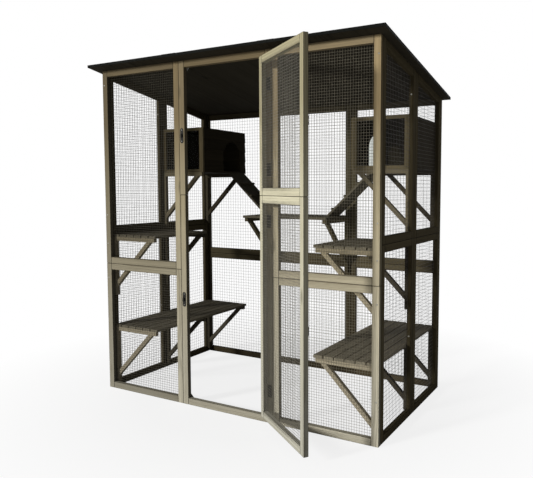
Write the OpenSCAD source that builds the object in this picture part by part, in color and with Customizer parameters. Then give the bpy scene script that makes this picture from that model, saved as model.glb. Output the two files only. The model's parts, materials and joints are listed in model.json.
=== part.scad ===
// Walk-in cat cage: framed mesh walls under a pent roof, a tall hinged door that stands open,
// slatted shelves on braced brackets, two raised sleeping boxes, and ramps down to a back shelf.
// The origin is the middle of the underside of the door's threshold. X runs along the front wall,
// Y runs from the front wall to the back wall and Z is up.

/* [Cage] */
// Width over the two side walls
cage_w = 1650; // [1450:10:1900]
// Depth from the front face to the back face
cage_d = 880; // [800:10:1100]
// Height of the front wall under the roof
front_h = 1770; // [1700:10:1900]
// Height of the back wall under the roof
back_h = 1620; // [1560:10:1690]
// Height of the seam between the lower and upper front panels
front_seam_z = 710; // [500:10:900]
// Height of the seam between the lower and upper side panels
side_seam_z = 885; // [700:5:1000]
// Height of the seam between the lower and upper back panels
back_seam_z = 690; // [500:10:900]
// Height of the seam between the lower and upper parts of the door and its surround
door_seam_z = 1095; // [900:5:1300]
// Width of the middle bay, which holds the door
door_bay_w = 560; // [500:10:620]

/* [Timber and mesh] */
// Face width of the framing timber
timber_w = 35; // [25:1:45]
// Thickness of the framing timber
timber_t = 22; // [18:1:30]
// Gap that stays between one wall panel and the next
seam_gap = 0.3; // [0.1:0.1:0.5]
// Pitch at which the welded mesh is drawn
mesh_pitch = 60; // [45:5:90]
// Diameter of a mesh wire
wire = 2; // [1.6:0.2:3]
// Distance of the mesh from the inner face of its frame
mesh_setback = 2; // [1:0.5:8]

/* [Roof] */
// How far the roof reaches past each side wall
roof_side_overhang = 40; // [10:5:80]
// How far the roof reaches past the front wall
roof_front_overhang = 60; // [20:5:100]
// How far the roof reaches past the back wall
roof_back_overhang = 15; // [5:5:80]
// Thickness of the roof boards
roof_board_t = 12; // [8:1:18]
// Number of roof panels laid side by side
roof_panel_count = 3; // [2:1:5]
// Thickness of the felt
felt_t = 2; // [1:0.5:4]

/* [Door] */
// Angle at which the door stands open
door_angle = 145; // [0:5:170]
// Running gap round the door leaf
leaf_gap = 3; // [2:0.5:5]
// Height of one hinge
hinge_h = 60; // [45:1:80]
// Width of one hinge plate
hinge_plate_w = 26; // [18:1:30]
// Radius of the hinge knuckle
knuckle_r = 4; // [3.5:0.5:5]
// Radius of the hinge pin
hinge_pin_r = 2; // [1.5:0.25:2.5]
// Thickness of hinge and hasp plates
plate_t = 1.6; // [1.2:0.2:2.4]
// Distance from the end of a door leaf to the middle of its hinge
hinge_inset = 120; // [60:10:200]
// Height of the upper hasp
upper_hasp_z = 1395; // [1200:5:1600]
// Height of the lower hasp
lower_hasp_z = 555; // [300:5:800]
// Length of the hasp's strap from its pin
strap_l = 46; // [40:1:60]
// Height of the hasp's strap
strap_h = 36; // [34:1:44]
// Length of the turn button
button_l = 22; // [16:1:24]
// Height of the keeper plate
keeper_h = 76; // [60:1:100]
// Width of the keeper plate
keeper_w = 20; // [16:1:26]

/* [Shelves] */
// Distance that a shelf stands out from its wall
shelf_w = 318; // [240:2:340]
// Thickness of a shelf slat
slat_t = 14; // [10:1:20]
// Gap between shelf slats
slat_gap = 6; // [3:1:10]
// Number of slats across a shelf
slat_count = 6; // [4:1:8]
// Height of the top of the lower shelves
lower_shelf_z = 360; // [355:5:450]
// Height of the top of the middle shelves
middle_shelf_z = 872; // [800:2:880]
// Height of the top of the back shelf
back_shelf_z = 968; // [900:2:1010]
// Face width of bracket timber
bracket_w = 30; // [20:1:36]
// Thickness of bracket timber
bracket_t = 22; // [16:1:28]
// Height of a bracket's wall batten, arm included
bracket_h = 330; // [260:5:335]
// How far a slat reaches past the arm that carries it
slat_overhang = 10; // [4:1:20]

/* [Sleeping boxes] */
// Drop from the back wall's top to the underside of the boxes
box_drop = 395; // [320:5:400]
// Height of a box
box_h = 265; // [220:5:280]
// Thickness of the box boards
box_board_t = 12; // [9:1:16]
// Number of planks in a box wall
plank_count = 4; // [3:1:5]
// How much a plank thins towards its upper edge
plank_taper = 4; // [1:0.5:6]
// Width of the arched doorway
doorway_w = 170; // [130:5:200]
// Height of the arched doorway
doorway_h = 182; // [150:2:200]
// Depth at which the doorways are centred, from the front face
doorway_depth = 712; // [680:2:740]
// Width of the stiles round a box's window
window_stile_w = 30; // [20:1:40]
// Height of the rails round a box's window
window_rail_h = 18; // [12:1:30]
// Thickness of the window pane
pane_t = 3; // [2:0.5:4]
// Depth at which the ramps are centred, from the front face
ramp_depth = 758; // [700:2:770]
// Width of a ramp
ramp_w = 152; // [110:2:170]
// Thickness of a ramp board
ramp_t = 12; // [9:1:15]
// Slope of a ramp in degrees
ramp_angle = 43; // [40:1:50]
// Distance from one cleat of a ramp to the next
cleat_pitch = 109; // [60:1:130]
// Width and height of a cleat
cleat = 10; // [6:1:14]

/* [Hidden] */
$fn = 48;

timber = "#8c8265";
dark_timber = "#5d5643";
pale_timber = "#b0a786";
metal = "#3c3c3a";
bright_metal = "#b5b2a8";

// Clearances: the glue line between joined timbers, a piece resting on another, a shaft in its hole, a wire's
// end at its frame, and a wire at the wires that it crosses
joint_gap = 0.1;
seat_gap = 0.1;
shaft_gap = 0.05;
mesh_fit = 0.1;
weld_gap = 0.1;
net_t = 2 * wire + weld_gap;

front_y = -timber_t / 2;
back_y = front_y + cage_d;
inner_front_y = front_y + timber_t;
inner_back_y = back_y - timber_t;
outer_x = cage_w / 2;
inner_x = outer_x - timber_t;
mid_y = (front_y + back_y) / 2;
door_bay_x = door_bay_w / 2;
opening_x = door_bay_x - timber_w;
roof_slope = (front_h - back_h) / cage_d;
slope_stretch = sqrt(1 + roof_slope * roof_slope);

// Height of the walls' sloping top at depth y
function roof_z(y) = front_h - roof_slope * (y - front_y);

// Profile in depth and height, square or cut to the roof's slope
function box_profile(y0, y1, z0, z1) = [[y0, z0], [y1, z0], [y1, z1], [y0, z1]];
function roofed_profile(y0, y1, z0) = [[y0, z0], [y1, z0], [y1, roof_z(y1)], [y0, roof_z(y0)]];
function stile_profile(y0, y1, z0, z1, roofed) =
    roofed ? roofed_profile(y0, y1, z0) : box_profile(y0, y1, z0, z1);

// A piece that runs along X with a profile in Y and Z
module along_x(x0, x1, profile) {
    translate([x0, 0, 0]) rotate([90, 0, 90]) linear_extrude(x1 - x0) polygon(profile);
}

// A piece that runs along Y with a profile in X and Z
module along_y(y0, y1, profile) {
    translate([0, y1, 0]) rotate([90, 0, 0]) linear_extrude(y1 - y0) polygon(profile);
}

// Framed panel in the front or back wall: two stiles with a rail between them at each open end
module wall_panel(x0, x1, y0, z0, z1, roofed = false, top_rail = true, bottom_rail = true) {
    left = x0 + seam_gap / 2;
    right = x1 - seam_gap / 2;
    low = z0 == 0 ? 0 : z0 + seam_gap / 2;
    high = z1 - seam_gap / 2;
    y1 = y0 + timber_t;
    rail_left = left + timber_w + joint_gap;
    rail_right = right - timber_w - joint_gap;
    rail_low = (roofed ? roof_z(y0) : high) - timber_w;
    along_x(left, left + timber_w, stile_profile(y0, y1, low, high, roofed));
    along_x(right - timber_w, right, stile_profile(y0, y1, low, high, roofed));
    if (bottom_rail) along_x(rail_left, rail_right, box_profile(y0, y1, low, low + timber_w));
    if (top_rail) along_x(rail_left, rail_right, stile_profile(y0, y1, rail_low, high, roofed));
}

// Framed panel in the left wall, with its top rail along the roof's slope where it is roofed
module side_panel(y0, y1, z0, z1, roofed = false) {
    front = y0 + seam_gap / 2;
    back = y1 - seam_gap / 2;
    low = z0 == 0 ? 0 : z0 + seam_gap / 2;
    high = z1 - seam_gap / 2;
    rail_front = front + timber_w + joint_gap;
    rail_back = back - timber_w - joint_gap;
    drop = timber_w * slope_stretch;
    top_profile = roofed
        ? [[rail_front, roof_z(rail_front) - drop], [rail_back, roof_z(rail_back) - drop],
           [rail_back, roof_z(rail_back)], [rail_front, roof_z(rail_front)]]
        : box_profile(rail_front, rail_back, high - timber_w, high);
    along_x(-outer_x, -inner_x, stile_profile(front, front + timber_w, low, high, roofed));
    along_x(-outer_x, -inner_x, stile_profile(back - timber_w, back, low, high, roofed));
    along_x(-outer_x, -inner_x, box_profile(rail_front, rail_back, low, low + timber_w));
    along_x(-outer_x, -inner_x, top_profile);
}

// Welded mesh, width by height, with a top that may slope from left_h to right_h: upright wires in one
// plane, and level wires laid on them
module net(w, left_h, right_h) {
    tallest = max(left_h, right_h);
    slope = (right_h - left_h) / w;
    columns = max(1, round(w / mesh_pitch));
    rows = max(1, round(tallest / mesh_pitch));
    for (i = [0:columns]) {
        x = wire / 2 + i * (w - wire) / columns;
        top = left_h + slope * x - abs(slope) * wire / 2;
        translate([x, 0, wire / 2]) rotate([-90, 0, 0]) cylinder(h = top, d = wire);
    }
    for (k = [0:rows]) {
        y = wire / 2 + k * (tallest - wire) / rows;
        meets_slope = slope == 0 ? 0 : (y + wire / 2 - left_h) / slope;
        x0 = slope > 0 ? max(0, meets_slope) : 0;
        x1 = slope < 0 ? min(w, meets_slope) : w;
        if (x1 - x0 > wire)
            translate([x0, y, net_t - wire / 2]) rotate([0, 90, 0]) cylinder(h = x1 - x0, d = wire);
    }
}

// Net that fills the window of a wall_panel, its plane near the inner face at inner_y
module wall_net(x0, x1, z0, z1, inner_y, inward) {
    inset = seam_gap / 2 + timber_w + mesh_fit;
    low = z0 + (z0 == 0 ? 0 : seam_gap / 2) + timber_w + mesh_fit;
    high = z1 - seam_gap / 2 - timber_w - mesh_fit;
    plane = inner_y - inward * mesh_setback;
    translate([x0 + inset, inward > 0 ? plane : plane + net_t, low])
        rotate([90, 0, 0]) net(x1 - x0 - 2 * inset, high - low, high - low);
}

// Net that fills the window of a side_panel
module side_net(y0, y1, z0, z1, roofed = false) {
    inset = seam_gap / 2 + timber_w + mesh_fit;
    front = y0 + inset;
    back = y1 - inset;
    low = z0 + (z0 == 0 ? 0 : seam_gap / 2) + timber_w + mesh_fit;
    drop = timber_w * slope_stretch + mesh_fit;
    flat_top = z1 - seam_gap / 2 - timber_w - mesh_fit;
    translate([-inner_x - mesh_setback - net_t, front, low]) rotate([90, 0, 90])
        net(back - front,
            (roofed ? roof_z(front) - drop : flat_top) - low,
            (roofed ? roof_z(back) - drop : flat_top) - low);
}

// Front wall
module front_left_lower_frame() color(timber) wall_panel(-outer_x, -door_bay_x, front_y, 0, front_seam_z);
module front_left_upper_frame()
    color(timber) wall_panel(-outer_x, -door_bay_x, front_y, front_seam_z, front_h, roofed = true);
module front_right_lower_frame() color(timber) wall_panel(door_bay_x, outer_x, front_y, 0, front_seam_z);
module front_right_upper_frame()
    color(timber) wall_panel(door_bay_x, outer_x, front_y, front_seam_z, front_h, roofed = true);
module door_surround_lower()
    color(timber) wall_panel(-door_bay_x, door_bay_x, front_y, 0, door_seam_z, top_rail = false);
module door_surround_upper()
    color(timber) wall_panel(-door_bay_x, door_bay_x, front_y, door_seam_z, front_h, roofed = true,
                             bottom_rail = false);

// Side walls, each two panels deep and two panels high, between the front wall and the back wall
module left_front_lower() side_panel(inner_front_y, mid_y, 0, side_seam_z);
module left_front_upper() side_panel(inner_front_y, mid_y, side_seam_z, front_h, roofed = true);
module left_back_lower() side_panel(mid_y, inner_back_y, 0, side_seam_z);
module left_back_upper() side_panel(mid_y, inner_back_y, side_seam_z, front_h, roofed = true);
module left_nets() {
    side_net(inner_front_y, mid_y, 0, side_seam_z);
    side_net(mid_y, inner_back_y, 0, side_seam_z);
    side_net(inner_front_y, mid_y, side_seam_z, front_h, roofed = true);
    side_net(mid_y, inner_back_y, side_seam_z, front_h, roofed = true);
}
module left_front_lower_frame() color(dark_timber) left_front_lower();
module left_front_upper_frame() color(dark_timber) left_front_upper();
module left_back_lower_frame() color(dark_timber) left_back_lower();
module left_back_upper_frame() color(dark_timber) left_back_upper();
module right_front_lower_frame() color(dark_timber) mirror([1, 0, 0]) left_front_lower();
module right_front_upper_frame() color(dark_timber) mirror([1, 0, 0]) left_front_upper();
module right_back_lower_frame() color(dark_timber) mirror([1, 0, 0]) left_back_lower();
module right_back_upper_frame() color(dark_timber) mirror([1, 0, 0]) left_back_upper();

// Back wall
module back_panel(x0, x1, z0, z1, roofed = false) {
    color(dark_timber) wall_panel(x0, x1, inner_back_y, z0, z1, roofed = roofed);
}
module back_left_lower_frame() back_panel(-outer_x, -door_bay_x, 0, back_seam_z);
module back_left_upper_frame() back_panel(-outer_x, -door_bay_x, back_seam_z, back_h, roofed = true);
module back_middle_lower_frame() back_panel(-door_bay_x, door_bay_x, 0, back_seam_z);
module back_middle_upper_frame() back_panel(-door_bay_x, door_bay_x, back_seam_z, back_h, roofed = true);
module back_right_lower_frame() back_panel(door_bay_x, outer_x, 0, back_seam_z);
module back_right_upper_frame() back_panel(door_bay_x, outer_x, back_seam_z, back_h, roofed = true);

// Mesh of each wall
module front_bay_nets(x0, x1) {
    wall_net(x0, x1, 0, front_seam_z, inner_front_y, 1);
    wall_net(x0, x1, front_seam_z, front_h, inner_front_y, 1);
}
module back_bay_nets(x0, x1) {
    wall_net(x0, x1, 0, back_seam_z, inner_back_y, -1);
    wall_net(x0, x1, back_seam_z, roof_z(inner_back_y), inner_back_y, -1);
}
module front_mesh() color(metal) {
    front_bay_nets(-outer_x, -door_bay_x);
    front_bay_nets(door_bay_x, outer_x);
}
module left_mesh() color(metal) left_nets();
module right_mesh() color(metal) mirror([1, 0, 0]) left_nets();
module back_mesh() color(metal) {
    back_bay_nets(-outer_x, -door_bay_x);
    back_bay_nets(-door_bay_x, door_bay_x);
    back_bay_nets(door_bay_x, outer_x);
}

// Roof: panels side by side, and felt over them that turns down at every edge
roof_x = outer_x + roof_side_overhang;
roof_front_y = front_y - roof_front_overhang;
roof_back_y = back_y + roof_back_overhang;
function roof_slab(y0, y1, lift, t) = [
    [y0, roof_z(y0) + lift], [y1, roof_z(y1) + lift], [y1, roof_z(y1) + lift + t], [y0, roof_z(y0) + lift + t]
];
module roof_boards() color(dark_timber) {
    panel_w = 2 * roof_x / roof_panel_count;
    for (i = [0:roof_panel_count - 1])
        along_x(-roof_x + i * panel_w + seam_gap / 2, -roof_x + (i + 1) * panel_w - seam_gap / 2,
                roof_slab(roof_front_y, roof_back_y, seat_gap, roof_board_t));
}
module roof_felt() color("#232520") {
    lip = seat_gap + felt_t;
    under = roof_board_t + seat_gap;
    difference() {
        along_x(-roof_x - lip, roof_x + lip,
                roof_slab(roof_front_y - lip, roof_back_y + lip, seat_gap, roof_board_t + lip));
        along_x(-roof_x - seat_gap, roof_x + seat_gap,
                roof_slab(roof_front_y - seat_gap, roof_back_y + seat_gap, seat_gap - under, 2 * under));
    }
}

// Slatted shelf along the left wall from depth y0 to y1, with its top at top_z
slat_w = (shelf_w - (slat_count - 1) * slat_gap) / slat_count;
module side_shelf(y0, y1, top_z) {
    for (i = [0:slat_count - 1])
        translate([-inner_x + seat_gap + i * (slat_w + slat_gap), y0, top_z - slat_t])
            cube([slat_w, y1 - y0, slat_t]);
}

// Bracket on the left wall: a batten on the wall, an arm under the shelf and a brace between them.
// Its arm's top is at z 0 and its middle at y 0.
arm_l = shelf_w - slat_overhang;
module bracket(h = bracket_h) {
    arm_low = -bracket_w;
    brace_run = h - 2 * bracket_w;
    brace_step = bracket_w * sqrt(2);
    y0 = -bracket_t / 2;
    y1 = bracket_t / 2;
    wall_x = -inner_x + seat_gap;
    batten_x = wall_x + bracket_t;
    along_y(y0, y1, [[wall_x, -h], [batten_x, -h], [batten_x, 0], [wall_x, 0]]);
    along_y(y0, y1, [[batten_x + joint_gap, arm_low], [wall_x + arm_l, arm_low], [wall_x + arm_l, 0],
                     [batten_x + joint_gap, 0]]);
    brace_x = batten_x + joint_gap;
    brace_top = arm_low - joint_gap;
    along_y(y0, y1, [[brace_x, brace_top - brace_run], [brace_x + brace_run, brace_top],
                     [brace_x + brace_run - brace_step, brace_top],
                     [brace_x, brace_top - brace_run + brace_step]]);
}
front_bracket_y = inner_front_y + timber_w / 2;
back_bracket_y = inner_back_y - timber_w / 2;
shelf_front_y = front_bracket_y - bracket_t / 2 - 1;
shelf_back_y = back_bracket_y + bracket_t / 2 + 1;
middle_shelf_back_y = mid_y + bracket_t / 2 + 4;
module place_bracket(y, shelf_top) translate([0, y, shelf_top - slat_t - seat_gap]) bracket();
module wall_brackets() {
    for (y = [front_bracket_y, mid_y, back_bracket_y]) place_bracket(y, lower_shelf_z);
    for (y = [front_bracket_y, mid_y]) place_bracket(y, middle_shelf_z);
}
module lower_shelf() side_shelf(shelf_front_y, shelf_back_y, lower_shelf_z);
module middle_shelf() side_shelf(shelf_front_y, middle_shelf_back_y, middle_shelf_z);
module left_lower_shelf() color(timber) lower_shelf();
module left_middle_shelf() color(timber) middle_shelf();
module right_lower_shelf() color(timber) mirror([1, 0, 0]) lower_shelf();
module right_middle_shelf() color(timber) mirror([1, 0, 0]) middle_shelf();
module left_brackets() color(timber) wall_brackets();
module right_brackets() color(timber) mirror([1, 0, 0]) wall_brackets();

// Back shelf: slats along X on two brackets turned to stand out from the back wall
back_bracket_x = door_bay_x - timber_w / 2;
back_shelf_x = back_bracket_x + bracket_t / 2 + 6;
module back_shelf() color(timber)
    for (i = [0:slat_count - 1])
        translate([-back_shelf_x, inner_back_y - seat_gap - shelf_w + i * (slat_w + slat_gap),
                   back_shelf_z - slat_t])
            cube([2 * back_shelf_x, slat_w, slat_t]);
module back_brackets() color(timber)
    for (x = [-back_bracket_x, back_bracket_x])
        translate([x, inner_back_y - inner_x, back_shelf_z - slat_t - seat_gap])
            rotate([0, 0, -90]) bracket();

// Sleeping box in the back corner by the left wall, carried by two brackets
box_w = shelf_w;
box_x0 = -inner_x + seat_gap;
box_x1 = box_x0 + box_w;
box_y0 = mid_y - bracket_t / 2;
box_y1 = inner_back_y - seat_gap;
box_z = back_h - box_drop;
box_top = box_z + box_h;
box_front_t = box_board_t + 2;
wall_low = box_z + box_board_t + joint_gap;
ceiling_z = box_top - box_board_t;
door_wall_x = box_x1 - box_board_t;
doorway_y = front_y + doorway_depth;

// Lapped planks, thick at the lower edge, as a profile across their thickness
function plank(k, pitch, t) = [
    [0, k * pitch], [t, k * pitch],
    [t - plank_taper, (k + 1) * pitch - joint_gap], [0, (k + 1) * pitch - joint_gap]
];
module plank_wall(len, h, t) {
    pitch = h / plank_count;
    for (k = [0:plank_count - 1]) along_y(0, len, plank(k, pitch, t));
}
module arch(w, h) {
    translate([-w / 2, 0]) square([w, h - w / 2]);
    translate([0, h - w / 2]) circle(r = w / 2);
}
module box_shell() {
    inside_y0 = box_y0 + box_front_t + joint_gap;
    inside_y1 = box_y1 - box_board_t;
    wall_h = ceiling_z - joint_gap - wall_low;
    inner_w = box_w - box_board_t - joint_gap;
    translate([box_x0, inside_y0, box_z]) cube([box_w, box_y1 - inside_y0, box_board_t]);
    translate([box_x0, inside_y0, ceiling_z]) cube([inner_w, box_y1 - inside_y0, box_board_t]);
    translate([box_x0, inside_y0, wall_low]) cube([box_board_t, inside_y1 - joint_gap - inside_y0, wall_h]);
    translate([box_x0, inside_y1, wall_low]) cube([inner_w, box_board_t, wall_h]);
}
module box_door_wall() {
    y0 = box_y0 + box_front_t + joint_gap;
    difference() {
        translate([door_wall_x, y0, wall_low]) plank_wall(box_y1 - y0, box_top - wall_low, box_board_t);
        translate([door_wall_x - 1, doorway_y, wall_low - 1]) rotate([90, 0, 90])
            linear_extrude(box_board_t + 2) arch(doorway_w, doorway_h);
    }
}
module box_front() {
    y1 = box_y0 + box_front_t;
    stile_x = box_x0 + window_stile_w;
    rail_x0 = stile_x + joint_gap;
    rail_x1 = box_x1 - window_stile_w - joint_gap;
    along_y(box_y0, y1, [[box_x0, box_z], [stile_x, box_z], [stile_x, box_top], [box_x0, box_top]]);
    along_y(box_y0, y1, [[box_x1 - window_stile_w, box_z], [box_x1, box_z], [box_x1, box_top],
                         [box_x1 - window_stile_w, box_top]]);
    for (z = [box_z, box_top - window_rail_h])
        translate([rail_x0, box_y0, z]) cube([rail_x1 - rail_x0, box_front_t, window_rail_h]);
}
module box_pane() {
    x0 = box_x0 + window_stile_w + mesh_fit;
    x1 = box_x1 - window_stile_w - mesh_fit;
    z0 = box_z + window_rail_h + mesh_fit;
    z1 = box_top - window_rail_h - mesh_fit;
    translate([x0, box_y0 + (box_front_t - pane_t) / 2, z0]) cube([x1 - x0, pane_t, z1 - z0]);
}
box_bracket_lift = 23;
box_bracket_h = box_z - seat_gap - middle_shelf_z - box_bracket_lift;
module box_bracket_pair()
    for (y = [mid_y, back_bracket_y]) translate([0, y, box_z - seat_gap]) bracket(box_bracket_h);
module left_box_shell() color(timber) box_shell();
module left_box_door_wall() color(dark_timber) box_door_wall();
module left_box_front() color(timber) box_front();
module right_box_shell() color(timber) mirror([1, 0, 0]) box_shell();
module right_box_door_wall() color(dark_timber) mirror([1, 0, 0]) box_door_wall();
module right_box_front() color(timber) mirror([1, 0, 0]) box_front();
module box_windows() color("#30363a") {
    box_pane();
    mirror([1, 0, 0]) box_pane();
}
module box_brackets() color(timber) {
    box_bracket_pair();
    mirror([1, 0, 0]) box_bracket_pair();
}

// Ramp from the left box's floor down to the back shelf, with cleats across it
module ramp() {
    head_x = box_x1 + seat_gap;
    head_z = box_z + box_board_t / 2;
    foot_z = back_shelf_z + seat_gap;
    run = (head_z - foot_z) / tan(ramp_angle);
    slope_l = run / cos(ramp_angle);
    y0 = front_y + ramp_depth - ramp_w / 2;
    along_y(y0, y0 + ramp_w, [
        [head_x, head_z], [head_x, head_z - ramp_t / cos(ramp_angle)],
        [head_x + run - ramp_t / sin(ramp_angle), foot_z], [head_x + run, foot_z]
    ]);
    for (reach = [cleat_pitch:cleat_pitch:slope_l - 2 * cleat])
        translate([head_x, y0, head_z]) rotate([0, ramp_angle, 0])
            translate([reach - cleat / 2, 0, seat_gap]) cube([cleat, ramp_w, cleat]);
}
module left_ramp() color(dark_timber) ramp();
module right_ramp() color(dark_timber) mirror([1, 0, 0]) ramp();

// Door, drawn shut in its opening and then swung open on its hinges
leaf_x = opening_x - seam_gap / 2 - leaf_gap;
leaf_low = timber_w + leaf_gap;
leaf_high = front_h - timber_w - leaf_gap;
hinge_x = opening_x - seam_gap / 2 - leaf_gap / 2;
knuckle_lift = 0.4;
hinge_y = front_y - knuckle_r - knuckle_lift;
hinge_zs = [
    leaf_low + hinge_inset, door_seam_z - hinge_inset,
    door_seam_z + hinge_inset, leaf_high - hinge_inset
];
module door_pose() {
    translate([hinge_x, hinge_y, 0]) rotate([0, 0, door_angle]) translate([-hinge_x, -hinge_y, 0]) children();
}
module leaf_frame(z0, z1) {
    y1 = front_y + timber_t;
    rail_x = leaf_x - timber_w - joint_gap;
    along_x(-leaf_x, -leaf_x + timber_w, box_profile(front_y, y1, z0, z1));
    along_x(leaf_x - timber_w, leaf_x, box_profile(front_y, y1, z0, z1));
    along_x(-rail_x, rail_x, box_profile(front_y, y1, z0, z0 + timber_w));
    along_x(-rail_x, rail_x, box_profile(front_y, y1, z1 - timber_w, z1));
}
module leaf_net(z0, z1) {
    half_w = leaf_x - timber_w - mesh_fit;
    low = z0 + timber_w + mesh_fit;
    high = z1 - timber_w - mesh_fit;
    translate([-half_w, inner_front_y - mesh_setback, low])
        rotate([90, 0, 0]) net(2 * half_w, high - low, high - low);
}
module door_leaf_lower() color(pale_timber) door_pose() leaf_frame(leaf_low, door_seam_z - seam_gap / 2);
module door_leaf_upper() color(pale_timber) door_pose() leaf_frame(door_seam_z + seam_gap / 2, leaf_high);
module door_mesh() color(metal) door_pose() {
    leaf_net(leaf_low, door_seam_z - seam_gap / 2);
    leaf_net(door_seam_z + seam_gap / 2, leaf_high);
}

// Butt hinge at the pin's axis: a plate on one side and the knuckles that it carries.
// side is 1 for the surround's leaf and -1 for the door's.
knuckle_gap = 0.3;
module hinge_leaf(side, knuckles) {
    knuckle_h = hinge_h / 3;
    plate_x = knuckle_r + knuckle_lift;
    face = knuckle_r + knuckle_lift;
    difference() {
        union() {
            translate([side > 0 ? plate_x : -plate_x - hinge_plate_w, face - plate_t, -hinge_h / 2])
                cube([hinge_plate_w, plate_t, hinge_h]);
            for (k = knuckles) translate([0, 0, -hinge_h / 2 + k * knuckle_h + knuckle_gap / 2]) {
                cylinder(h = knuckle_h - knuckle_gap, r = knuckle_r);
                translate([side > 0 ? 0 : -plate_x - 1, face - plate_t, 0])
                    cube([plate_x + 1, plate_t, knuckle_h - knuckle_gap]);
            }
        }
        translate([0, 0, -hinge_h / 2 - 1]) cylinder(h = hinge_h + 2, r = hinge_pin_r + shaft_gap);
    }
}
module hinge_frame_leaves() color(metal)
    for (z = hinge_zs) translate([hinge_x, hinge_y, z]) hinge_leaf(1, [0, 2]);
module hinge_door_leaves() color(metal) door_pose()
    for (z = hinge_zs) translate([hinge_x, hinge_y, z]) hinge_leaf(-1, [1]);
module hinge_pins() color(bright_metal)
    for (z = hinge_zs) translate([hinge_x, hinge_y, z - hinge_h / 2]) {
        cylinder(h = hinge_h, r = hinge_pin_r);
        translate([0, 0, hinge_h]) cylinder(h = 1.5, r = knuckle_r - 0.5);
    }

// Hasp: a plate on the door carries a slotted strap on an upright pin, and the strap's slot goes over
// the turn button on the keeper plate of the surround. The strap is folded back on the door.
hasp_knuckle_r = 2.5;
hasp_pin_r = 1.2;
hasp_axis_y = front_y - hasp_knuckle_r - knuckle_lift;
keeper_x = -door_bay_x + seam_gap / 2 + timber_w / 2;
hasp_axis_x = -leaf_x + 9;
slot_reach = hasp_axis_x - keeper_x;
slot_w = 13;
slot_h = button_l + 3;
hasp_knuckle_h = strap_h / 3;
hasp_plate_w = 18;
module hasp_plate() {
    plate_y = hasp_knuckle_r + knuckle_lift - plate_t;
    translate([hasp_knuckle_r + 0.5, plate_y, -strap_h / 2]) cube([hasp_plate_w, plate_t, strap_h]);
    for (side = [-1, 1]) {
        z0 = side > 0 ? hasp_knuckle_h / 2 + knuckle_gap : -strap_h / 2;
        knuckle_len = hasp_knuckle_h - knuckle_gap;
        translate([0, 0, z0]) cylinder(h = knuckle_len, r = hasp_knuckle_r);
        translate([0, plate_y, z0]) cube([hasp_knuckle_r + 1, plate_t, knuckle_len]);
    }
    translate([0, 0, -strap_h / 2]) cylinder(h = strap_h, r = hasp_pin_r);
}
module hasp_strap() difference() {
    union() {
        translate([0, plate_t / 2, 0]) rotate([90, 0, 0]) linear_extrude(plate_t) {
            translate([hasp_knuckle_r + 0.5, -strap_h / 2]) square([strap_l - strap_h / 2 - 4, strap_h]);
            translate([strap_l - strap_h / 2, 0]) circle(r = strap_h / 2);
        }
        translate([0, 0, -hasp_knuckle_h / 2]) cylinder(h = hasp_knuckle_h, r = hasp_knuckle_r);
        translate([0, -plate_t / 2, -hasp_knuckle_h / 2]) cube([hasp_knuckle_r + 1, plate_t, hasp_knuckle_h]);
    }
    translate([0, 0, -strap_h]) cylinder(h = 2 * strap_h, r = hasp_pin_r + shaft_gap);
    translate([slot_reach - slot_w / 2, -plate_t, -slot_h / 2]) cube([slot_w, 2 * plate_t, slot_h]);
}
module place_hasp(z) door_pose() translate([hasp_axis_x, hasp_axis_y, z]) children();
module hasp_plates() color(metal) for (z = [upper_hasp_z, lower_hasp_z]) place_hasp(z) hasp_plate();
module upper_hasp_strap() color(bright_metal) place_hasp(upper_hasp_z) hasp_strap();
module lower_hasp_strap() color(metal) place_hasp(lower_hasp_z) hasp_strap();

boss_r = 5.5;
boss_h = 4;
button_shaft_r = 3;
button_w = 8;
button_t = 4;
button_head_gap = 0.3;
module round_ended(w, h) {
    translate([-w / 2, -(h - w) / 2]) square([w, h - w]);
    for (side = [-1, 1]) translate([0, side * (h - w) / 2]) circle(r = w / 2);
}
module keeper_plate() {
    bore_r = button_shaft_r + shaft_gap;
    rotate([90, 0, 0]) linear_extrude(plate_t) difference() {
        round_ended(keeper_w, keeper_h);
        circle(r = bore_r);
    }
    translate([0, -plate_t - joint_gap, 0]) rotate([90, 0, 0]) linear_extrude(boss_h) difference() {
        circle(r = boss_r);
        circle(r = bore_r);
    }
}
module turn_button() {
    head_y = -plate_t - joint_gap - boss_h - button_head_gap;
    translate([0, -seat_gap, 0]) rotate([90, 0, 0]) cylinder(h = -head_y, r = button_shaft_r);
    translate([0, head_y, 0]) rotate([90, 0, 0]) linear_extrude(button_t) round_ended(button_w, button_l);
}
module place_keeper(z) translate([keeper_x, front_y, z]) children();
module keeper_plates() color(bright_metal)
    for (z = [upper_hasp_z, lower_hasp_z]) place_keeper(z) keeper_plate();
module upper_turn_button() color(bright_metal) place_keeper(upper_hasp_z) turn_button();
module lower_turn_button() color(metal) place_keeper(lower_hasp_z) turn_button();

// Flat plates behind the corners of the door opening, which brace the surround and stop the door.
// The upper ones end a little under the roof boards.
plate_reach = 16;
plate_leg = 30;
plate_roof_gap = 1;
plate_back_y = inner_front_y + plate_t + seat_gap;
upper_plate_z = front_h - timber_w;
upper_leg = roof_z(plate_back_y) - plate_roof_gap - upper_plate_z;
module corner_plate(rise) {
    translate([0, plate_back_y, 0]) rotate([90, 0, 0]) linear_extrude(plate_t)
        polygon([[-plate_leg, -rise], [plate_reach, -rise], [plate_reach, 0], [0, plate_reach],
                 [-plate_leg, plate_reach]]);
}
module left_corner_plates() {
    translate([-opening_x, 0, timber_w]) corner_plate(plate_leg);
    translate([-opening_x, 0, upper_plate_z]) mirror([0, 0, 1]) corner_plate(upper_leg);
}
module corner_plates() color(bright_metal) {
    left_corner_plates();
    mirror([1, 0, 0]) left_corner_plates();
}

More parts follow.
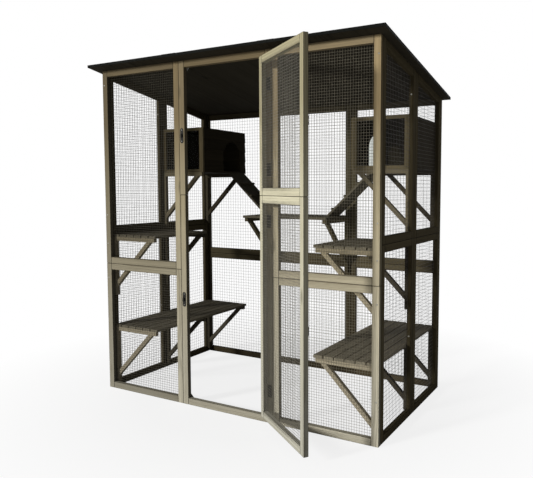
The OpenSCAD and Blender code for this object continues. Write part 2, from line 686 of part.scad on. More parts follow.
// Heads of the screws that join the panels at the front corners and at the middle of each side wall
screw_r = 4;
screw_h = 1.5;
screw_inset = 12;
low_screw_z = 200;
end_screw_reach = 80;
seam_screw_reach = 110;
screw_step = 160;
mid_screw_z = 400;
mid_screw_drop = 115;
corner_screw_zs = [
    low_screw_z, front_seam_z - end_screw_reach, front_seam_z + seam_screw_reach,
    front_seam_z + seam_screw_reach + screw_step, front_h - end_screw_reach
];
mid_screw_zs = [mid_screw_z, roof_z(mid_y) - mid_screw_drop];
module screw_head() cylinder(h = screw_h, r1 = screw_r, r2 = screw_r / 2);
module left_screws() {
    for (z = corner_screw_zs)
        translate([-outer_x + screw_inset, front_y, z]) rotate([90, 0, 0]) screw_head();
    for (z = mid_screw_zs)
        translate([-outer_x + timber_t / 2, mid_y - seam_gap / 2 - timber_w, z])
            rotate([90, 0, 0]) screw_head();
}
module frame_screws() color(bright_metal) {
    left_screws();
    mirror([1, 0, 0]) left_screws();
}

front_left_lower_frame();
front_left_upper_frame();
front_right_lower_frame();
front_right_upper_frame();
door_surround_lower();
door_surround_upper();
left_front_lower_frame();
left_front_upper_frame();
left_back_lower_frame();
left_back_upper_frame();
right_front_lower_frame();
right_front_upper_frame();
right_back_lower_frame();
right_back_upper_frame();
back_left_lower_frame();
back_left_upper_frame();
back_middle_lower_frame();
back_middle_upper_frame();
back_right_lower_frame();
back_right_upper_frame();
front_mesh();
left_mesh();
right_mesh();
back_mesh();
roof_boards();
roof_felt();
left_lower_shelf();
left_middle_shelf();
right_lower_shelf();
right_middle_shelf();
back_shelf();
left_brackets();
right_brackets();
back_brackets();
box_brackets();
left_box_shell();
left_box_door_wall();
left_box_front();
right_box_shell();
right_box_door_wall();
right_box_front();
box_windows();
left_ramp();
right_ramp();
corner_plates();
keeper_plates();
frame_screws();
hinge_frame_leaves();
hinge_pins();
upper_turn_button();
lower_turn_button();
door_leaf_lower();
door_leaf_upper();
door_mesh();
hinge_door_leaves();
hasp_plates();
upper_hasp_strap();
lower_hasp_strap();
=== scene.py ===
"""Looks of a walk-in cat cage: stained timber panels, welded mesh, a felted roof, hasps and hinges."""

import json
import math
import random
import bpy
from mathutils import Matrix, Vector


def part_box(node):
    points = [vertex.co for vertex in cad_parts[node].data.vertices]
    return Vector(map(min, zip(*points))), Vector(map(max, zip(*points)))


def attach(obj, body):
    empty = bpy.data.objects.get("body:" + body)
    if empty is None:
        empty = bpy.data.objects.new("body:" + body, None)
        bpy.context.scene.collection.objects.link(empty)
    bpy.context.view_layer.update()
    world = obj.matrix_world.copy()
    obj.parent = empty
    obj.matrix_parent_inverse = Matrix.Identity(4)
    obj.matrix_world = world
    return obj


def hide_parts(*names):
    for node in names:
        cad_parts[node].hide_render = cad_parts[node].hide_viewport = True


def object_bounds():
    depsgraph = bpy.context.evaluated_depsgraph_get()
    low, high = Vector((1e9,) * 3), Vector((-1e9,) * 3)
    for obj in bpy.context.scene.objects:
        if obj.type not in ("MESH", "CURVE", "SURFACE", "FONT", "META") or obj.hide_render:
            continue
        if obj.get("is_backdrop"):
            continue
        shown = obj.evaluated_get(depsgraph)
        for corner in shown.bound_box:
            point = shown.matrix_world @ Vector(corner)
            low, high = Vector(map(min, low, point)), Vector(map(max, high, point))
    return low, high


bl_info = {
    "name": "Cat Cage",
    "version": (1, 0, 0),
    "blender": (4, 5, 0),
    "location": "3D View > Sidebar > Cat Cage",
    "description": "Dresses a framed mesh cat cage in wood, wire, felt and metal",
    "category": "Object",
}

import bmesh
import bpy
from mathutils import Matrix, Vector, noise

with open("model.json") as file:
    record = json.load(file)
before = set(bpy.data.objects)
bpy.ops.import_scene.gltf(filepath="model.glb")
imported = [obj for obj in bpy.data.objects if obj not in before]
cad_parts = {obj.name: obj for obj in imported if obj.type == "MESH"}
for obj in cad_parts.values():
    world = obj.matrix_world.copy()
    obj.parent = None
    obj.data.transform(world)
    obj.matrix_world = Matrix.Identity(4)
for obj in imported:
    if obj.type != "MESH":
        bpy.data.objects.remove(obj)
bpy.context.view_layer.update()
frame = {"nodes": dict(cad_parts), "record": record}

FRONT_FRAMES = (
    "front_left_lower_frame",
    "front_left_upper_frame",
    "front_right_lower_frame",
    "front_right_upper_frame",
    "door_surround_lower",
    "door_surround_upper",
)
SIDE_FRAMES = (
    "left_front_lower_frame",
    "left_front_upper_frame",
    "left_back_lower_frame",
    "left_back_upper_frame",
    "right_front_lower_frame",
    "right_front_upper_frame",
    "right_back_lower_frame",
    "right_back_upper_frame",
)
BACK_FRAMES = (
    "back_left_lower_frame",
    "back_left_upper_frame",
    "back_middle_lower_frame",
    "back_middle_upper_frame",
    "back_right_lower_frame",
    "back_right_upper_frame",
)
DOOR_FRAMES = ("door_leaf_lower", "door_leaf_upper")
SHELVES = (
    "left_lower_shelf",
    "left_middle_shelf",
    "right_lower_shelf",
    "right_middle_shelf",
    "back_shelf",
)
SIDE_BRACKETS = ("left_brackets", "right_brackets")
BRACKETS = (*SIDE_BRACKETS, "box_brackets", "back_brackets")
BOX_FRONTS = ("left_box_front", "right_box_front")
BOX_WALLS = ("left_box_shell", "left_box_door_wall", "right_box_shell", "right_box_door_wall")
RAMPS = ("left_ramp", "right_ramp")

HEIGHT_OF_RAMP = 1.8  # the cage's height in metres, over which the stain changes
GROUND_SHARE = 0.1  # share of that height up to which the stain has its colour near the ground
MIDDLE_SHARE = 0.6  # share at which it has its middle colour
EAVES_SHARE = 0.82  # share from which it has its colour under the eaves, on the front wall a painted shade from the eaves
DEEPEST_PAINTED_SHADE = 0.12  # share of the open tone that is left on the timber with the most painted shade towards the back
NET_SETBACK = 0.00405  # from the middle of the door's net out to the inner face of its frame


def painted(red, green, blue):
    """A colour given as it is seen on a screen, 0 to 255, as Blender's linear colour."""
    return tuple(
        c / 255 / 12.92 if c < 11 else ((c / 255 + 0.055) / 1.055) ** 2.4
        for c in (red, green, blue)
    )


class CageTimber(bpy.types.PropertyGroup):
    """Sizes and colours of the stained timber."""

    # Painted shade: the front wall is written darker under the eaves for the eaves' shadow
    eaves_shade_colour: bpy.props.FloatVectorProperty(
        name="Eaves colour",
        description="Stain on the front wall under the eaves",
        subtype="COLOR",
        default=painted(131, 115, 86),
    )
    front_colour: bpy.props.FloatVectorProperty(
        name="Front colour",
        description="Stain half way up the front wall",
        subtype="COLOR",
        default=painted(168, 156, 126),
    )
    # Paler near the ground: weathering, with painted light from the floor
    ground_colour: bpy.props.FloatVectorProperty(
        name="Ground colour",
        description="Weathered stain near the ground",
        subtype="COLOR",
        default=painted(178, 172, 153),
    )
    # Painted light: the front wall and the box fronts are written paler towards the right, where the
    # light falls stronger
    weathering: bpy.props.FloatProperty(
        name="Weathering",
        description="How much paler front wall and box fronts get over each metre towards the right",
        default=0.54,
        min=0,
        max=0.8,
    )
    # Painted shade: the side walls are written darker towards the back of the cage, where less light
    # falls
    shelter: bpy.props.FloatProperty(
        name="Shelter",
        description="How much darker the side walls' stain stays over each metre towards the back",
        default=0.2,
        min=0,
        max=1,
    )
    # Painted shade: the shelves are written darker towards the back of the cage
    shelf_shelter: bpy.props.FloatProperty(
        name="Shelf shelter",
        description="How much darker the shelves' stain stays over each metre towards the back",
        default=0.65,
        min=0,
        max=1,
    )
    # Painted shade: the side brackets are written darker towards the back of the cage
    bracket_shelter: bpy.props.FloatProperty(
        name="Bracket shelter",
        description="How much darker the side brackets stay over each metre towards the back",
        default=2.1,
        min=0,
        max=3,
    )
    # Painted shade: the box brackets are written darker towards the back of the cage
    box_shelter: bpy.props.FloatProperty(
        name="Box bracket shelter",
        description="How much darker the box brackets stay over each metre towards the back",
        default=1.05,
        min=0,
        max=3,
    )
    # Painted shade: the front stiles' side faces are written darker for the shade they stand in
    reveal_shade_tone: bpy.props.FloatProperty(
        name="Reveal tone",
        description="How dark the front stiles' side faces are against their weathered front faces",
        default=0.3,
        min=0.1,
        max=1,
    )
    # Painted shade: the door stiles' side faces are written darker for the shade they stand in
    door_edge_shade_tone: bpy.props.FloatProperty(
        name="Door edge tone",
        description="How dark the door stiles' side faces are against their wide faces",
        default=0.55,
        min=0.1,
        max=1,
    )
    rail_tone: bpy.props.FloatProperty(
        name="Rail tone",
        description="How dark the front's rails are against its stiles",
        default=0.76,
        min=0.4,
        max=1.2,
    )
    # Painted shade: the side walls are the front's wood, written darker for the shade that they stand
    # in
    side_colour: bpy.props.FloatVectorProperty(
        name="Side colour",
        description="Stain on the side walls",
        subtype="COLOR",
        default=painted(70, 63, 46),
    )
    # Darker near the ground than higher up
    low_back_colour: bpy.props.FloatVectorProperty(
        name="Low back colour",
        description="Damp stain near the ground on the back wall",
        subtype="COLOR",
        default=painted(60, 53, 39),
    )
    # Painted shade: the back wall and its brackets are written dark for the shade inside the cage
    back_colour: bpy.props.FloatVectorProperty(
        name="Back colour",
        description="Stain on the back wall and its brackets from half way up",
        subtype="COLOR",
        default=painted(86, 79, 60),
    )
    back_weathering: bpy.props.FloatProperty(
        name="Back weathering",
        description="How much paler the back wall's stain gets over each metre towards the right",
        default=0.4,
        min=0,
        max=0.8,
    )
    door_top_colour: bpy.props.FloatVectorProperty(
        name="Door top colour",
        description="Stain at the top of the door",
        subtype="COLOR",
        default=painted(160, 152, 122),
    )
    door_colour: bpy.props.FloatVectorProperty(
        name="Door colour",
        description="Stain half way up the door",
        subtype="COLOR",
        default=painted(197, 191, 164),
    )
    door_foot_colour: bpy.props.FloatVectorProperty(
        name="Door foot colour",
        description="Weathered stain at the foot of the door",
        subtype="COLOR",
        default=painted(172, 169, 154),
    )
    low_shelf_colour: bpy.props.FloatVectorProperty(
        name="Low shelf colour",
        description="Stain on the shelves' slats near the ground",
        subtype="COLOR",
        default=painted(128, 121, 104),
    )
    # Painted shade: the shelves half way up are written darker for the shade of the sleeping boxes
    shelf_colour: bpy.props.FloatVectorProperty(
        name="Shelf colour",
        description="Stain on the slats of the shelves half way up and on the ramps",
        subtype="COLOR",
        default=painted(100, 94, 78),
    )
    low_bracket_colour: bpy.props.FloatVectorProperty(
        name="Low bracket colour",
        description="Weathered stain on the brackets near the ground",
        subtype="COLOR",
        default=painted(164, 154, 132),
    )
    bracket_colour: bpy.props.FloatVectorProperty(
        name="Bracket colour",
        description="Stain on the brackets from half way up",
        subtype="COLOR",
        default=painted(140, 129, 103),
    )
    bracket_weathering: bpy.props.FloatProperty(
        name="Bracket weathering",
        description="How much paler the brackets' stain gets over each metre towards the right",
        default=0.35,
        min=0,
        max=0.8,
    )
    # Painted shade: the box fronts are written darker for the shade of the roof over them
    box_front_colour: bpy.props.FloatVectorProperty(
        name="Box front colour",
        description="Stain on the frames round the sleeping boxes' windows",
        subtype="COLOR",
        default=painted(92, 83, 62),
    )
    # Painted shade: the boxes' boards are written near black for the shade they stand in
    box_colour: bpy.props.FloatVectorProperty(
        name="Box colour",
        description="Stain on the sleeping boxes' boards and lapped planks",
        subtype="COLOR",
        default=painted(44, 39, 29),
    )
    # Painted shade: the roof boards are written dark for the shade under the roof
    roof_colour: bpy.props.FloatVectorProperty(
        name="Roof colour",
        description="Stain on the roof boards",
        subtype="COLOR",
        default=painted(52, 48, 39),
    )
    bracket_trim: bpy.props.FloatProperty(
        name="Bracket trim",
        description="How much is planed off under the brackets' arms and braces",
        subtype="DISTANCE",
        default=0.008,
        min=0,
        max=0.012,
    )
    rounding: bpy.props.FloatProperty(
        name="Edge rounding",
        description="How far the planed edges are eased",
        subtype="DISTANCE",
        default=0.002,
        min=0.0005,
        max=0.003,
    )
    ring_pitch: bpy.props.FloatProperty(
        name="Ring pitch",
        description="Distance from one growth ring to the next",
        subtype="DISTANCE",
        default=0.0052,
        min=0.002,
        max=0.01,
    )


class CageMesh(bpy.types.PropertyGroup):
    """Sizes and colours of the welded wire mesh."""

    front_pitch: bpy.props.FloatProperty(
        name="Front pitch",
        description="Distance between the wires of the front wall and the door",
        subtype="DISTANCE",
        default=0.0127,
        min=0.008,
        max=0.03,
    )
    side_pitch: bpy.props.FloatProperty(
        name="Side pitch",
        description="Distance between the wires of the side and back walls",
        subtype="DISTANCE",
        default=0.0195,
        min=0.008,
        max=0.04,
    )
    wire_width: bpy.props.FloatProperty(
        name="Wall wire",
        description="Diameter of one wire of the walls",
        subtype="DISTANCE",
        default=0.0012,
        min=0.0005,
        max=0.0019,
    )
    door_wire_width: bpy.props.FloatProperty(
        name="Door wire",
        description="Diameter of one wire of the door",
        subtype="DISTANCE",
        default=0.0011,
        min=0.0005,
        max=0.0019,
    )
    lap: bpy.props.FloatProperty(
        name="Lap",
        description="How far the door's wires run on over its frame",
        subtype="DISTANCE",
        default=0.015,
        min=0.0,
        max=0.025,
    )
    front_colour: bpy.props.FloatVectorProperty(
        name="Front wire colour",
        description="Dulled zinc on the front wall's wires",
        subtype="COLOR",
        default=painted(100, 95, 82),
    )
    side_colour: bpy.props.FloatVectorProperty(
        name="Side wire colour",
        description="Darkened zinc on the side and back walls' wires",
        subtype="COLOR",
        default=painted(82, 78, 72),
    )
    door_colour: bpy.props.FloatVectorProperty(
        name="Door wire colour",
        description="Zinc on the door's wires",
        subtype="COLOR",
        default=painted(140, 136, 124),
    )


class CageRoof(bpy.types.PropertyGroup):
    """Sizes and colours of the felted roof."""

    felt_colour: bpy.props.FloatVectorProperty(
        name="Felt colour",
        description="Mineral grit on the felt",
        subtype="COLOR",
        default=painted(15, 15, 13),
    )
    strip_width: bpy.props.FloatProperty(
        name="Cover strip",
        description="Width of the felt strip over a joint between roof panels",
        subtype="DISTANCE",
        default=0.09,
        min=0.04,
        max=0.2,
    )
    nail_pitch: bpy.props.FloatProperty(
        name="Nail pitch",
        description="Distance between the nails along the felt's edges",
        subtype="DISTANCE",
        default=0.075,
        min=0.04,
        max=0.2,
    )


class CageMetal(bpy.types.PropertyGroup):
    """Colours of the fittings and the window panes, and sizes of screws and nails."""

    black_colour: bpy.props.FloatVectorProperty(
        name="Black metal",
        description="Black coating on hinge and hasp plates, the lower hasp and the shelf nails",
        subtype="COLOR",
        default=painted(27, 26, 24),
    )
    dull_colour: bpy.props.FloatVectorProperty(
        name="Dull metal",
        description="Tarnished zinc on the keeper plates and the upper turn button",
        subtype="COLOR",
        default=painted(54, 52, 48),
    )
    bright_colour: bpy.props.FloatVectorProperty(
        name="Bright metal",
        description="Zinc on the upper hasp, hinge pins, corner plates, roof nails and screws",
        subtype="COLOR",
        default=painted(186, 184, 176),
    )
    pane_colour: bpy.props.FloatVectorProperty(
        name="Pane colour",
        description="Tint of the sleeping boxes' windows",
        subtype="COLOR",
        default=painted(214, 218, 212),
    )
    screw_radius: bpy.props.FloatProperty(
        name="Screw head",
        description="Radius of the small screws in the fittings",
        subtype="DISTANCE",
        default=0.0026,
        min=0.0015,
        max=0.004,
    )
    nail_radius: bpy.props.FloatProperty(
        name="Nail head",
        description="Radius of the nail heads in the shelves",
        subtype="DISTANCE",
        default=0.0035,
        min=0.002,
        max=0.005,
    )


class CageStage(bpy.types.PropertyGroup):
    """The camera, the floor and the lamps."""

    camera_place: bpy.props.FloatVectorProperty(
        name="Camera place",
        description="Where the camera stands",
        subtype="XYZ_LENGTH",
        default=(1.7579, -2.275, 1.125),
    )
    camera_turn: bpy.props.FloatVectorProperty(
        name="Camera turn",
        description="Axis times angle of the turn from the world to the camera's own view",
        subtype="XYZ",
        default=(1.6035, 0.4022, -0.3732),
    )
    focal: bpy.props.FloatProperty(
        name="Focal length",
        description="Focal length in widths of the picture",
        default=1.0797,
        min=0.5,
        max=3,
    )
    shift: bpy.props.FloatVectorProperty(
        name="Shift",
        description="Shift of the picture in its widths",
        size=2,
        default=(-0.1058, -0.0186),
    )
    floor_colour: bpy.props.FloatVectorProperty(
        name="Floor colour",
        description="Pale floor under the cage",
        subtype="COLOR",
        default=painted(246, 246, 245),
    )
    key_strength: bpy.props.FloatProperty(
        name="Key lamp",
        description="Strength of the large far lamp in front on the left",
        default=3.5,
        min=0,
    )
    key_spread: bpy.props.FloatProperty(
        name="Key lamp spread",
        description="How wide the lamp looks from the cage, which softens its shadows",
        subtype="ANGLE",
        default=math.radians(9),
        min=0,
        max=math.radians(90),
    )
    key_direction: bpy.props.FloatVectorProperty(
        name="Key lamp direction",
        description="Way from the cage to the lamp",
        subtype="XYZ",
        default=(-0.48, -0.8, 0.29),
    )
    sky: bpy.props.FloatProperty(
        name="Soft light",
        description="Strength of the light that comes from all round",
        default=0.19,
        min=0,
    )


# Meshes

WELD = 2e-5  # mesh points of a CAD solid no further apart than this are one corner
FLAT = math.radians(0.5)  # faces that turn less than this against each other are one flat face
ACROSS = 0.3  # most that the unit vector of an edge across a timber points along it
STEEP = 0.9  # an upright line's unit vector rises more than this
LEVEL = 0.1  # a level line's unit vector rises less than this
STILE_RISE = 0.7  # a stile's unit vector rises more than this, a rail's less
UPRIGHT_FACE = 0.5  # an upright face's normal rises less than this
SIDE_FACE = 0.7  # the normal of a stile's side face points out of the wall by less than this
TOUCHING = 0.0006  # timbers no further apart than this lie against each other
SAME_CORNER = 0.004  # easing its edges moves a timber's corner by less than this
SEAM_INSIDE = 0.0005  # a dark seam fades out between this far inside a neighbour's end
SEAM_OUTSIDE = 0.0015  # and this far outside it
PANEL_GAP = 0.0003  # the seam between two wall panels
HEART_REACH = (0.02, 0.07)  # nearest and furthest that the heart of the tree is from a timber
GRAIN_LENGTH = 9  # metres of grain, anywhere along which a timber may start
TIMBER_TONES = (0.86, 1.08)  # darkest and palest timber under the same stain
SHARP_EDGE = math.radians(30)  # a timber's edges that turn more than this are eased
EDGE_PROFILE = 0.6  # roundness of an eased edge, a little fuller than a quarter circle
FITTING_EDGE = math.radians(40)  # a fitting's edges that turn more than this are rounded
SAME_HEIGHT = 0.001  # corners no further apart than this are level with each other
BRACE_TIP = 0.02  # the corners at a brace's tip are no further apart than this
WINDOW_SIDE = 1e-3  # corners no further than this from a window's side are on it
WIRE_MARGIN = 0.001  # round a wire's box, which the boxes of its window's other wires reach
WIRE_SIDES = 6
WIRE_WANDER = 2e-4  # how far an upright wire may be welded out of its place
TOP_STEPS = 400  # steps in which the sloping top of a window is measured
HEAD_SIDES = 12
HEAD_RINGS = ((1, 0), (0.92, 0.7), (0.6, 1), (0.3, 0.55))  # shares of a head's radius and height


def cad_solid(node):
    """A CAD node's own shape with its flat faces whole again."""
    shape = bmesh.new()
    shape.from_mesh(frame["nodes"][node].data)
    bmesh.ops.remove_doubles(shape, verts=shape.verts, dist=WELD)
    bmesh.ops.dissolve_limit(shape, angle_limit=FLAT, verts=shape.verts, edges=shape.edges)
    return shape


def separate_solids(shape):
    """The separate solids of a shape, each a list of its vertices."""
    shape.verts.ensure_lookup_table()
    shape.verts.index_update()
    seen = set()
    solids = []
    for first in shape.verts:
        if first.index in seen:
            continue
        seen.add(first.index)
        solid = [first]
        for vert in solid:
            for edge in vert.link_edges:
                other = edge.other_vert(vert)
                if other.index not in seen:
                    seen.add(other.index)
                    solid.append(other)
        solids.append(solid)
    return solids


def box_of(places, margin=0.0):
    """Lowest and highest corner round some places, let out by a margin."""
    low = Vector([min(place[axis] for place in places) - margin for axis in range(3)])
    high = Vector([max(place[axis] for place in places) + margin for axis in range(3)])
    return low, high


def solid_bounds(node):
    """Lowest and highest corner of each separate solid of a CAD node."""
    shape = cad_solid(node)
    found = [box_of([vert.co for vert in solid]) for solid in separate_solids(shape)]
    shape.free()
    return found


def timber_axes(solid):
    """Unit vectors along a timber and across it, from its longest edges."""
    edges = list(dict.fromkeys(edge for vert in solid for edge in vert.link_edges))
    edges.sort(key=lambda edge: -edge.calc_length())
    along = (edges[0].verts[1].co - edges[0].verts[0].co).normalized()
    across = next(
        side
        for side in ((e.verts[1].co - e.verts[0].co).normalized() for e in edges)
        if abs(side.dot(along)) < ACROSS
    )
    depth = along.cross(across).normalized()
    return along, depth.cross(along), depth


class Timber:
    """One timber's own axes, and how far it reaches along each of them."""

    def __init__(self, solid):
        self.axes = timber_axes(solid)
        spans = [[v.co.dot(axis) for v in solid] for axis in self.axes]
        self.low = [min(span) for span in spans]
        self.high = [max(span) for span in spans]

    def corners(self):
        """The eight corners of the timber's box."""
        first, second, third = self.axes
        return [
            first * a + second * b + third * c
            for a in (self.low[0], self.high[0])
            for b in (self.low[1], self.high[1])
            for c in (self.low[2], self.high[2])
        ]

    def holds(self, place, margin):
        """Whether a place is in the timber's box, or no further from it than the margin."""
        return all(
            low - margin < place.dot(axis) < high + margin
            for axis, low, high in zip(self.axes, self.low, self.high)
        )

    def meets(self, other):
        """Whether another timber touches this one."""
        return any(self.holds(corner, TOUCHING) for corner in other.corners()) or any(
            other.holds(corner, TOUCHING) for corner in self.corners()
        )

    def same_as(self, other):
        """Whether another timber fills the same place."""
        here, there = self.corners(), other.corners()
        return all((here[end] - there[end]).length < SAME_CORNER for end in (0, -1))


def timbers_of(nodes):
    """Every timber of some CAD nodes."""
    found = []
    for node in nodes:
        shape = cad_solid(node)
        found += [Timber(solid) for solid in separate_solids(shape)]
        shape.free()
    return found


def cut_solid(shape, solid, along, height):
    """Cuts across a solid at a height along its length, and gives back all its vertices."""
    edges = [edge for vert in solid for edge in vert.link_edges]
    faces = [face for vert in solid for face in vert.link_faces]
    parts = list(dict.fromkeys(solid + edges + faces))
    cut = bmesh.ops.bisect_plane(shape, geom=parts, plane_co=along * height, plane_no=along)
    return solid + [part for part in cut["geom_cut"] if isinstance(part, bmesh.types.BMVert)]


def mark_seams(shape, beside, width, eased):
    """Marks the rounded edges that lie against another timber, which the wood finish darkens: the real
    joint with painted shade in its groove.
    """
    seam = shape.verts.layers.float.new("seam")
    for solid in separate_solids(shape):
        timber = Timber(solid)
        near = [t for t in beside if timber.meets(t) and not timber.same_as(t)]
        along = timber.axes[0]
        heights = set()
        for other in near:
            reach = [corner.dot(along) for corner in other.corners()]
            for end, outward in ((min(reach), -1), (max(reach), 1)):
                heights |= {end - outward * SEAM_INSIDE, end + outward * SEAM_OUTSIDE}
        for height in sorted(heights):
            if timber.low[0] + 2 * width < height < timber.high[0] - 2 * width:
                solid = cut_solid(shape, solid, along, height)
        for vert in solid:
            if all(face[eased] for face in vert.link_faces):
                vert[seam] = float(any(t.holds(vert.co, 0.5 * width + PANEL_GAP) for t in near))


def paint_reveal_shade(shape, facing, tone):
    """Paints shade on the upright faces that look along the wall: marks how much darker they are."""
    shape.normal_update()
    reveal_shade = shape.faces.layers.float.new("reveal_shade")
    for face in shape.faces:
        if abs(face.normal.z) < UPRIGHT_FACE and abs(face.normal.dot(facing)) < SIDE_FACE:
            face[reveal_shade] = 1 - tone


def give_grain(shape, seed, weathering=0.0, rail_tone=1.0, shelter=0.0):
    """Stores each timber's own coordinates, its tone, paler towards the right and with painted shade
    towards the back, its height and its hue, which the wood finish reads.
    """
    grain = shape.verts.layers.float_vector.new("grain")
    stain = shape.verts.layers.float_vector.new("stain")
    for count, solid in enumerate(separate_solids(shape)):
        dice = random.Random(f"{seed} {count}")
        along, across, depth = timber_axes(solid)
        middle = sum((v.co for v in solid), Vector()) / len(solid)
        angle = dice.uniform(0, 2 * math.pi)
        heart = dice.uniform(*HEART_REACH)
        start = dice.uniform(0, GRAIN_LENGTH)
        tone = dice.uniform(*TIMBER_TONES) * (1.0 if abs(along.z) > STILE_RISE else rail_tone)
        # Paler towards the right; on the front wall and the box fronts this is painted light
        tone *= 1 + weathering * middle.x
        hue = dice.random()
        for vert in solid:
            place = vert.co - middle
            vert[grain] = (
                place.dot(along) + start,
                place.dot(across) + heart * math.cos(angle),
                place.dot(depth) + heart * math.sin(angle),
            )
            # Darker towards the back: painted shade inside the cage
            vert[stain] = (tone * max(DEEPEST_PAINTED_SHADE, 1 - shelter * vert.co.y), vert.co.z, hue)


def ease_edges(shape, width):
    """Rounds the sharp edges of a shape, and gives back the layer that marks the rounded faces."""
    eased = shape.faces.layers.int.new("eased")
    sharp = [e for e in shape.edges if e.is_manifold and e.calc_face_angle(0) > SHARP_EDGE]
    rounded = bmesh.ops.bevel(
        shape,
        geom=sharp,
        offset=width,
        offset_type="OFFSET",
        segments=2,
        profile=EDGE_PROFILE,
        affect="EDGES",
        clamp_overlap=True,
    )
    for face in rounded["faces"]:
        face[eased] = 1
    return eased


def trim_bracket(shape, trim):
    """Planes a bracket's arm and brace down from below, and lifts the brace back up to the arm."""
    slant = trim * math.sqrt(2)
    for solid in separate_solids(shape):
        rise = abs(timber_axes(solid)[0].z)
        if rise > STEEP:
            continue
        foot = min(v.co.z for v in solid)
        low = [v for v in solid if v.co.z < foot + SAME_HEIGHT]
        if rise < LEVEL:
            for vert in low:
                vert.co.z += trim
            continue
        top = max(v.co.z for v in solid)
        start = low[0].co.to_2d()
        reaches = [(v, v.co.to_2d() - start) for v in solid if v.co.z > top - SAME_HEIGHT]
        span = max(away.length for vert, away in reaches)
        furthest = next(away for vert, away in reaches if away.length > span - SAME_HEIGHT)
        if abs(furthest.x) > abs(furthest.y):
            outward = Vector((math.copysign(1, furthest.x), 0, 0))
        else:
            outward = Vector((0, math.copysign(1, furthest.y), 0))
        tip = [vert for vert, away in reaches if away.length > span - BRACE_TIP]
        for vert in solid:
            vert.co.z += trim
        for vert in low:
            vert.co.z += slant
        for vert in tip:
            vert.co -= outward * slant


def mesh_of(shape, name):
    """A Blender mesh made from a shape, which is then let go."""
    mesh = bpy.data.meshes.new(name)
    shape.to_mesh(mesh)
    shape.free()
    return mesh


def add_piece(name, mesh, body, finish, nodes=()):
    """Puts a piece in the scene, on its body, with its finish and the nodes that it stands for."""
    piece = bpy.data.objects.new(name, mesh)
    bpy.context.scene.collection.objects.link(piece)
    piece.data.materials.append(finish)
    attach(piece, body)
    if nodes:
        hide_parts(*nodes)
    return piece


def add_timbers(
    nodes, body, slot, finish, beside=(), edge_share=1.0, trim=0.0, reveal_shade=(), **tones
):
    """Replaces timber nodes with the same timbers, eased, with painted shade in their seams and on
    reveals where given, and grained in some tones.
    """
    width = bpy.context.scene.cage_timber.rounding * edge_share
    for node in nodes:
        shape = cad_solid(node)
        if trim:
            trim_bracket(shape, trim)
        eased = ease_edges(shape, width)
        mark_seams(shape, beside, width, eased)
        if reveal_shade:
            paint_reveal_shade(shape, *reveal_shade)
        give_grain(shape, node, **tones)
        add_piece(f"{node}_timbers", mesh_of(shape, node), body, finish, [node])


def coat_nodes(nodes, finish, rounding=0.0):
    """Gives CAD nodes a finish, and an eased edge where rounding is given."""
    for node in nodes:
        part = frame["nodes"][node]
        part.data.materials.clear()
        part.data.materials.append(finish)
        if rounding:
            ease = part.modifiers.new("Eased edge", "BEVEL")
            ease.width = rounding
            ease.segments = 2
            ease.limit_method = "ANGLE"
            ease.angle_limit = FITTING_EDGE


class Window:
    """The outline that a CAD net fills: an upright face with a level foot and a straight top."""

    def __init__(self, corners):
        far = max(corners, key=lambda c: (c - corners[0]).to_2d().length)
        near = max(corners, key=lambda c: (c - far).to_2d().length)
        run = far - near
        run.z = 0
        self.side = run.normalized()
        self.face = Vector((-self.side.y, self.side.x, 0))
        across = [c.dot(self.side) for c in corners]
        deep = [c.dot(self.face) for c in corners]
        self.first = min(across)
        self.width = max(across) - self.first
        self.middle = (min(deep) + max(deep)) / 2
        self.foot = min(c.z for c in corners)
        self.tops = [
            max(c.z for c, reach in zip(corners, across) if abs(reach - end) < WINDOW_SIDE)
            for end in (self.first, self.first + self.width)
        ]

    def top(self, reach):
        """Height of the window's top at a distance from its first side."""
        return self.tops[0] + (self.tops[1] - self.tops[0]) * reach / self.width

    def place(self, reach, lift, height):
        """The point that far along the window, off its plane and above the ground."""
        flat = self.side * (self.first + reach) + self.face * (self.middle + lift)
        return Vector((flat.x, flat.y, height))


def windows_of(node):
    """The windows that a CAD net fills, found from the wires that lie close together."""
    shape = cad_solid(node)
    groups = []
    for wire in separate_solids(shape):
        places = [v.co.copy() for v in wire]
        low, high = box_of(places, WIRE_MARGIN)
        apart = []
        for group_low, group_high, group in groups:
            if all(group_low[n] < high[n] and low[n] < group_high[n] for n in range(3)):
                places += group
                low, high = box_of(places, WIRE_MARGIN)
            else:
                apart.append((group_low, group_high, group))
        groups = apart + [(low, high, places)]
    shape.free()
    return [Window(places) for low, high, places in groups]


class Wires:
    """The straight six-sided wires of a net, which grow into one mesh."""

    def __init__(self, radius):
        self.radius = radius
        self.verts = []
        self.faces = []

    def add(self, start, end):
        """Adds a wire."""
        along = (end - start).normalized()
        up = Vector((0, 0, 1)) if abs(along.z) < STEEP else Vector((1, 0, 0))
        first = along.cross(up).normalized()
        second = along.cross(first)
        base = len(self.verts)
        for tip in (start, end):
            for k in range(WIRE_SIDES):
                angle = 2 * math.pi * k / WIRE_SIDES
                rim = math.cos(angle) * first + math.sin(angle) * second
                self.verts.append(tip + self.radius * rim)
        far = base + WIRE_SIDES
        for k in range(WIRE_SIDES):
            after = (k + 1) % WIRE_SIDES
            self.faces.append((base + k, far + k, far + after, base + after))
        self.faces.append(tuple(base + k for k in range(WIRE_SIDES)))
        self.faces.append(tuple(far + WIRE_SIDES - 1 - k for k in range(WIRE_SIDES)))

    def add_lap(self, start, outward, rise, reach):
        """Brings a wire's end up out of its window and lays it over the frame."""
        top = start + rise
        self.add(start, top)
        self.add(top, top + outward * reach)

    def mesh(self, name):
        """The wires as a Blender mesh."""
        made = bpy.data.meshes.new(name)
        made.from_pydata(self.verts, [], self.faces)
        return made


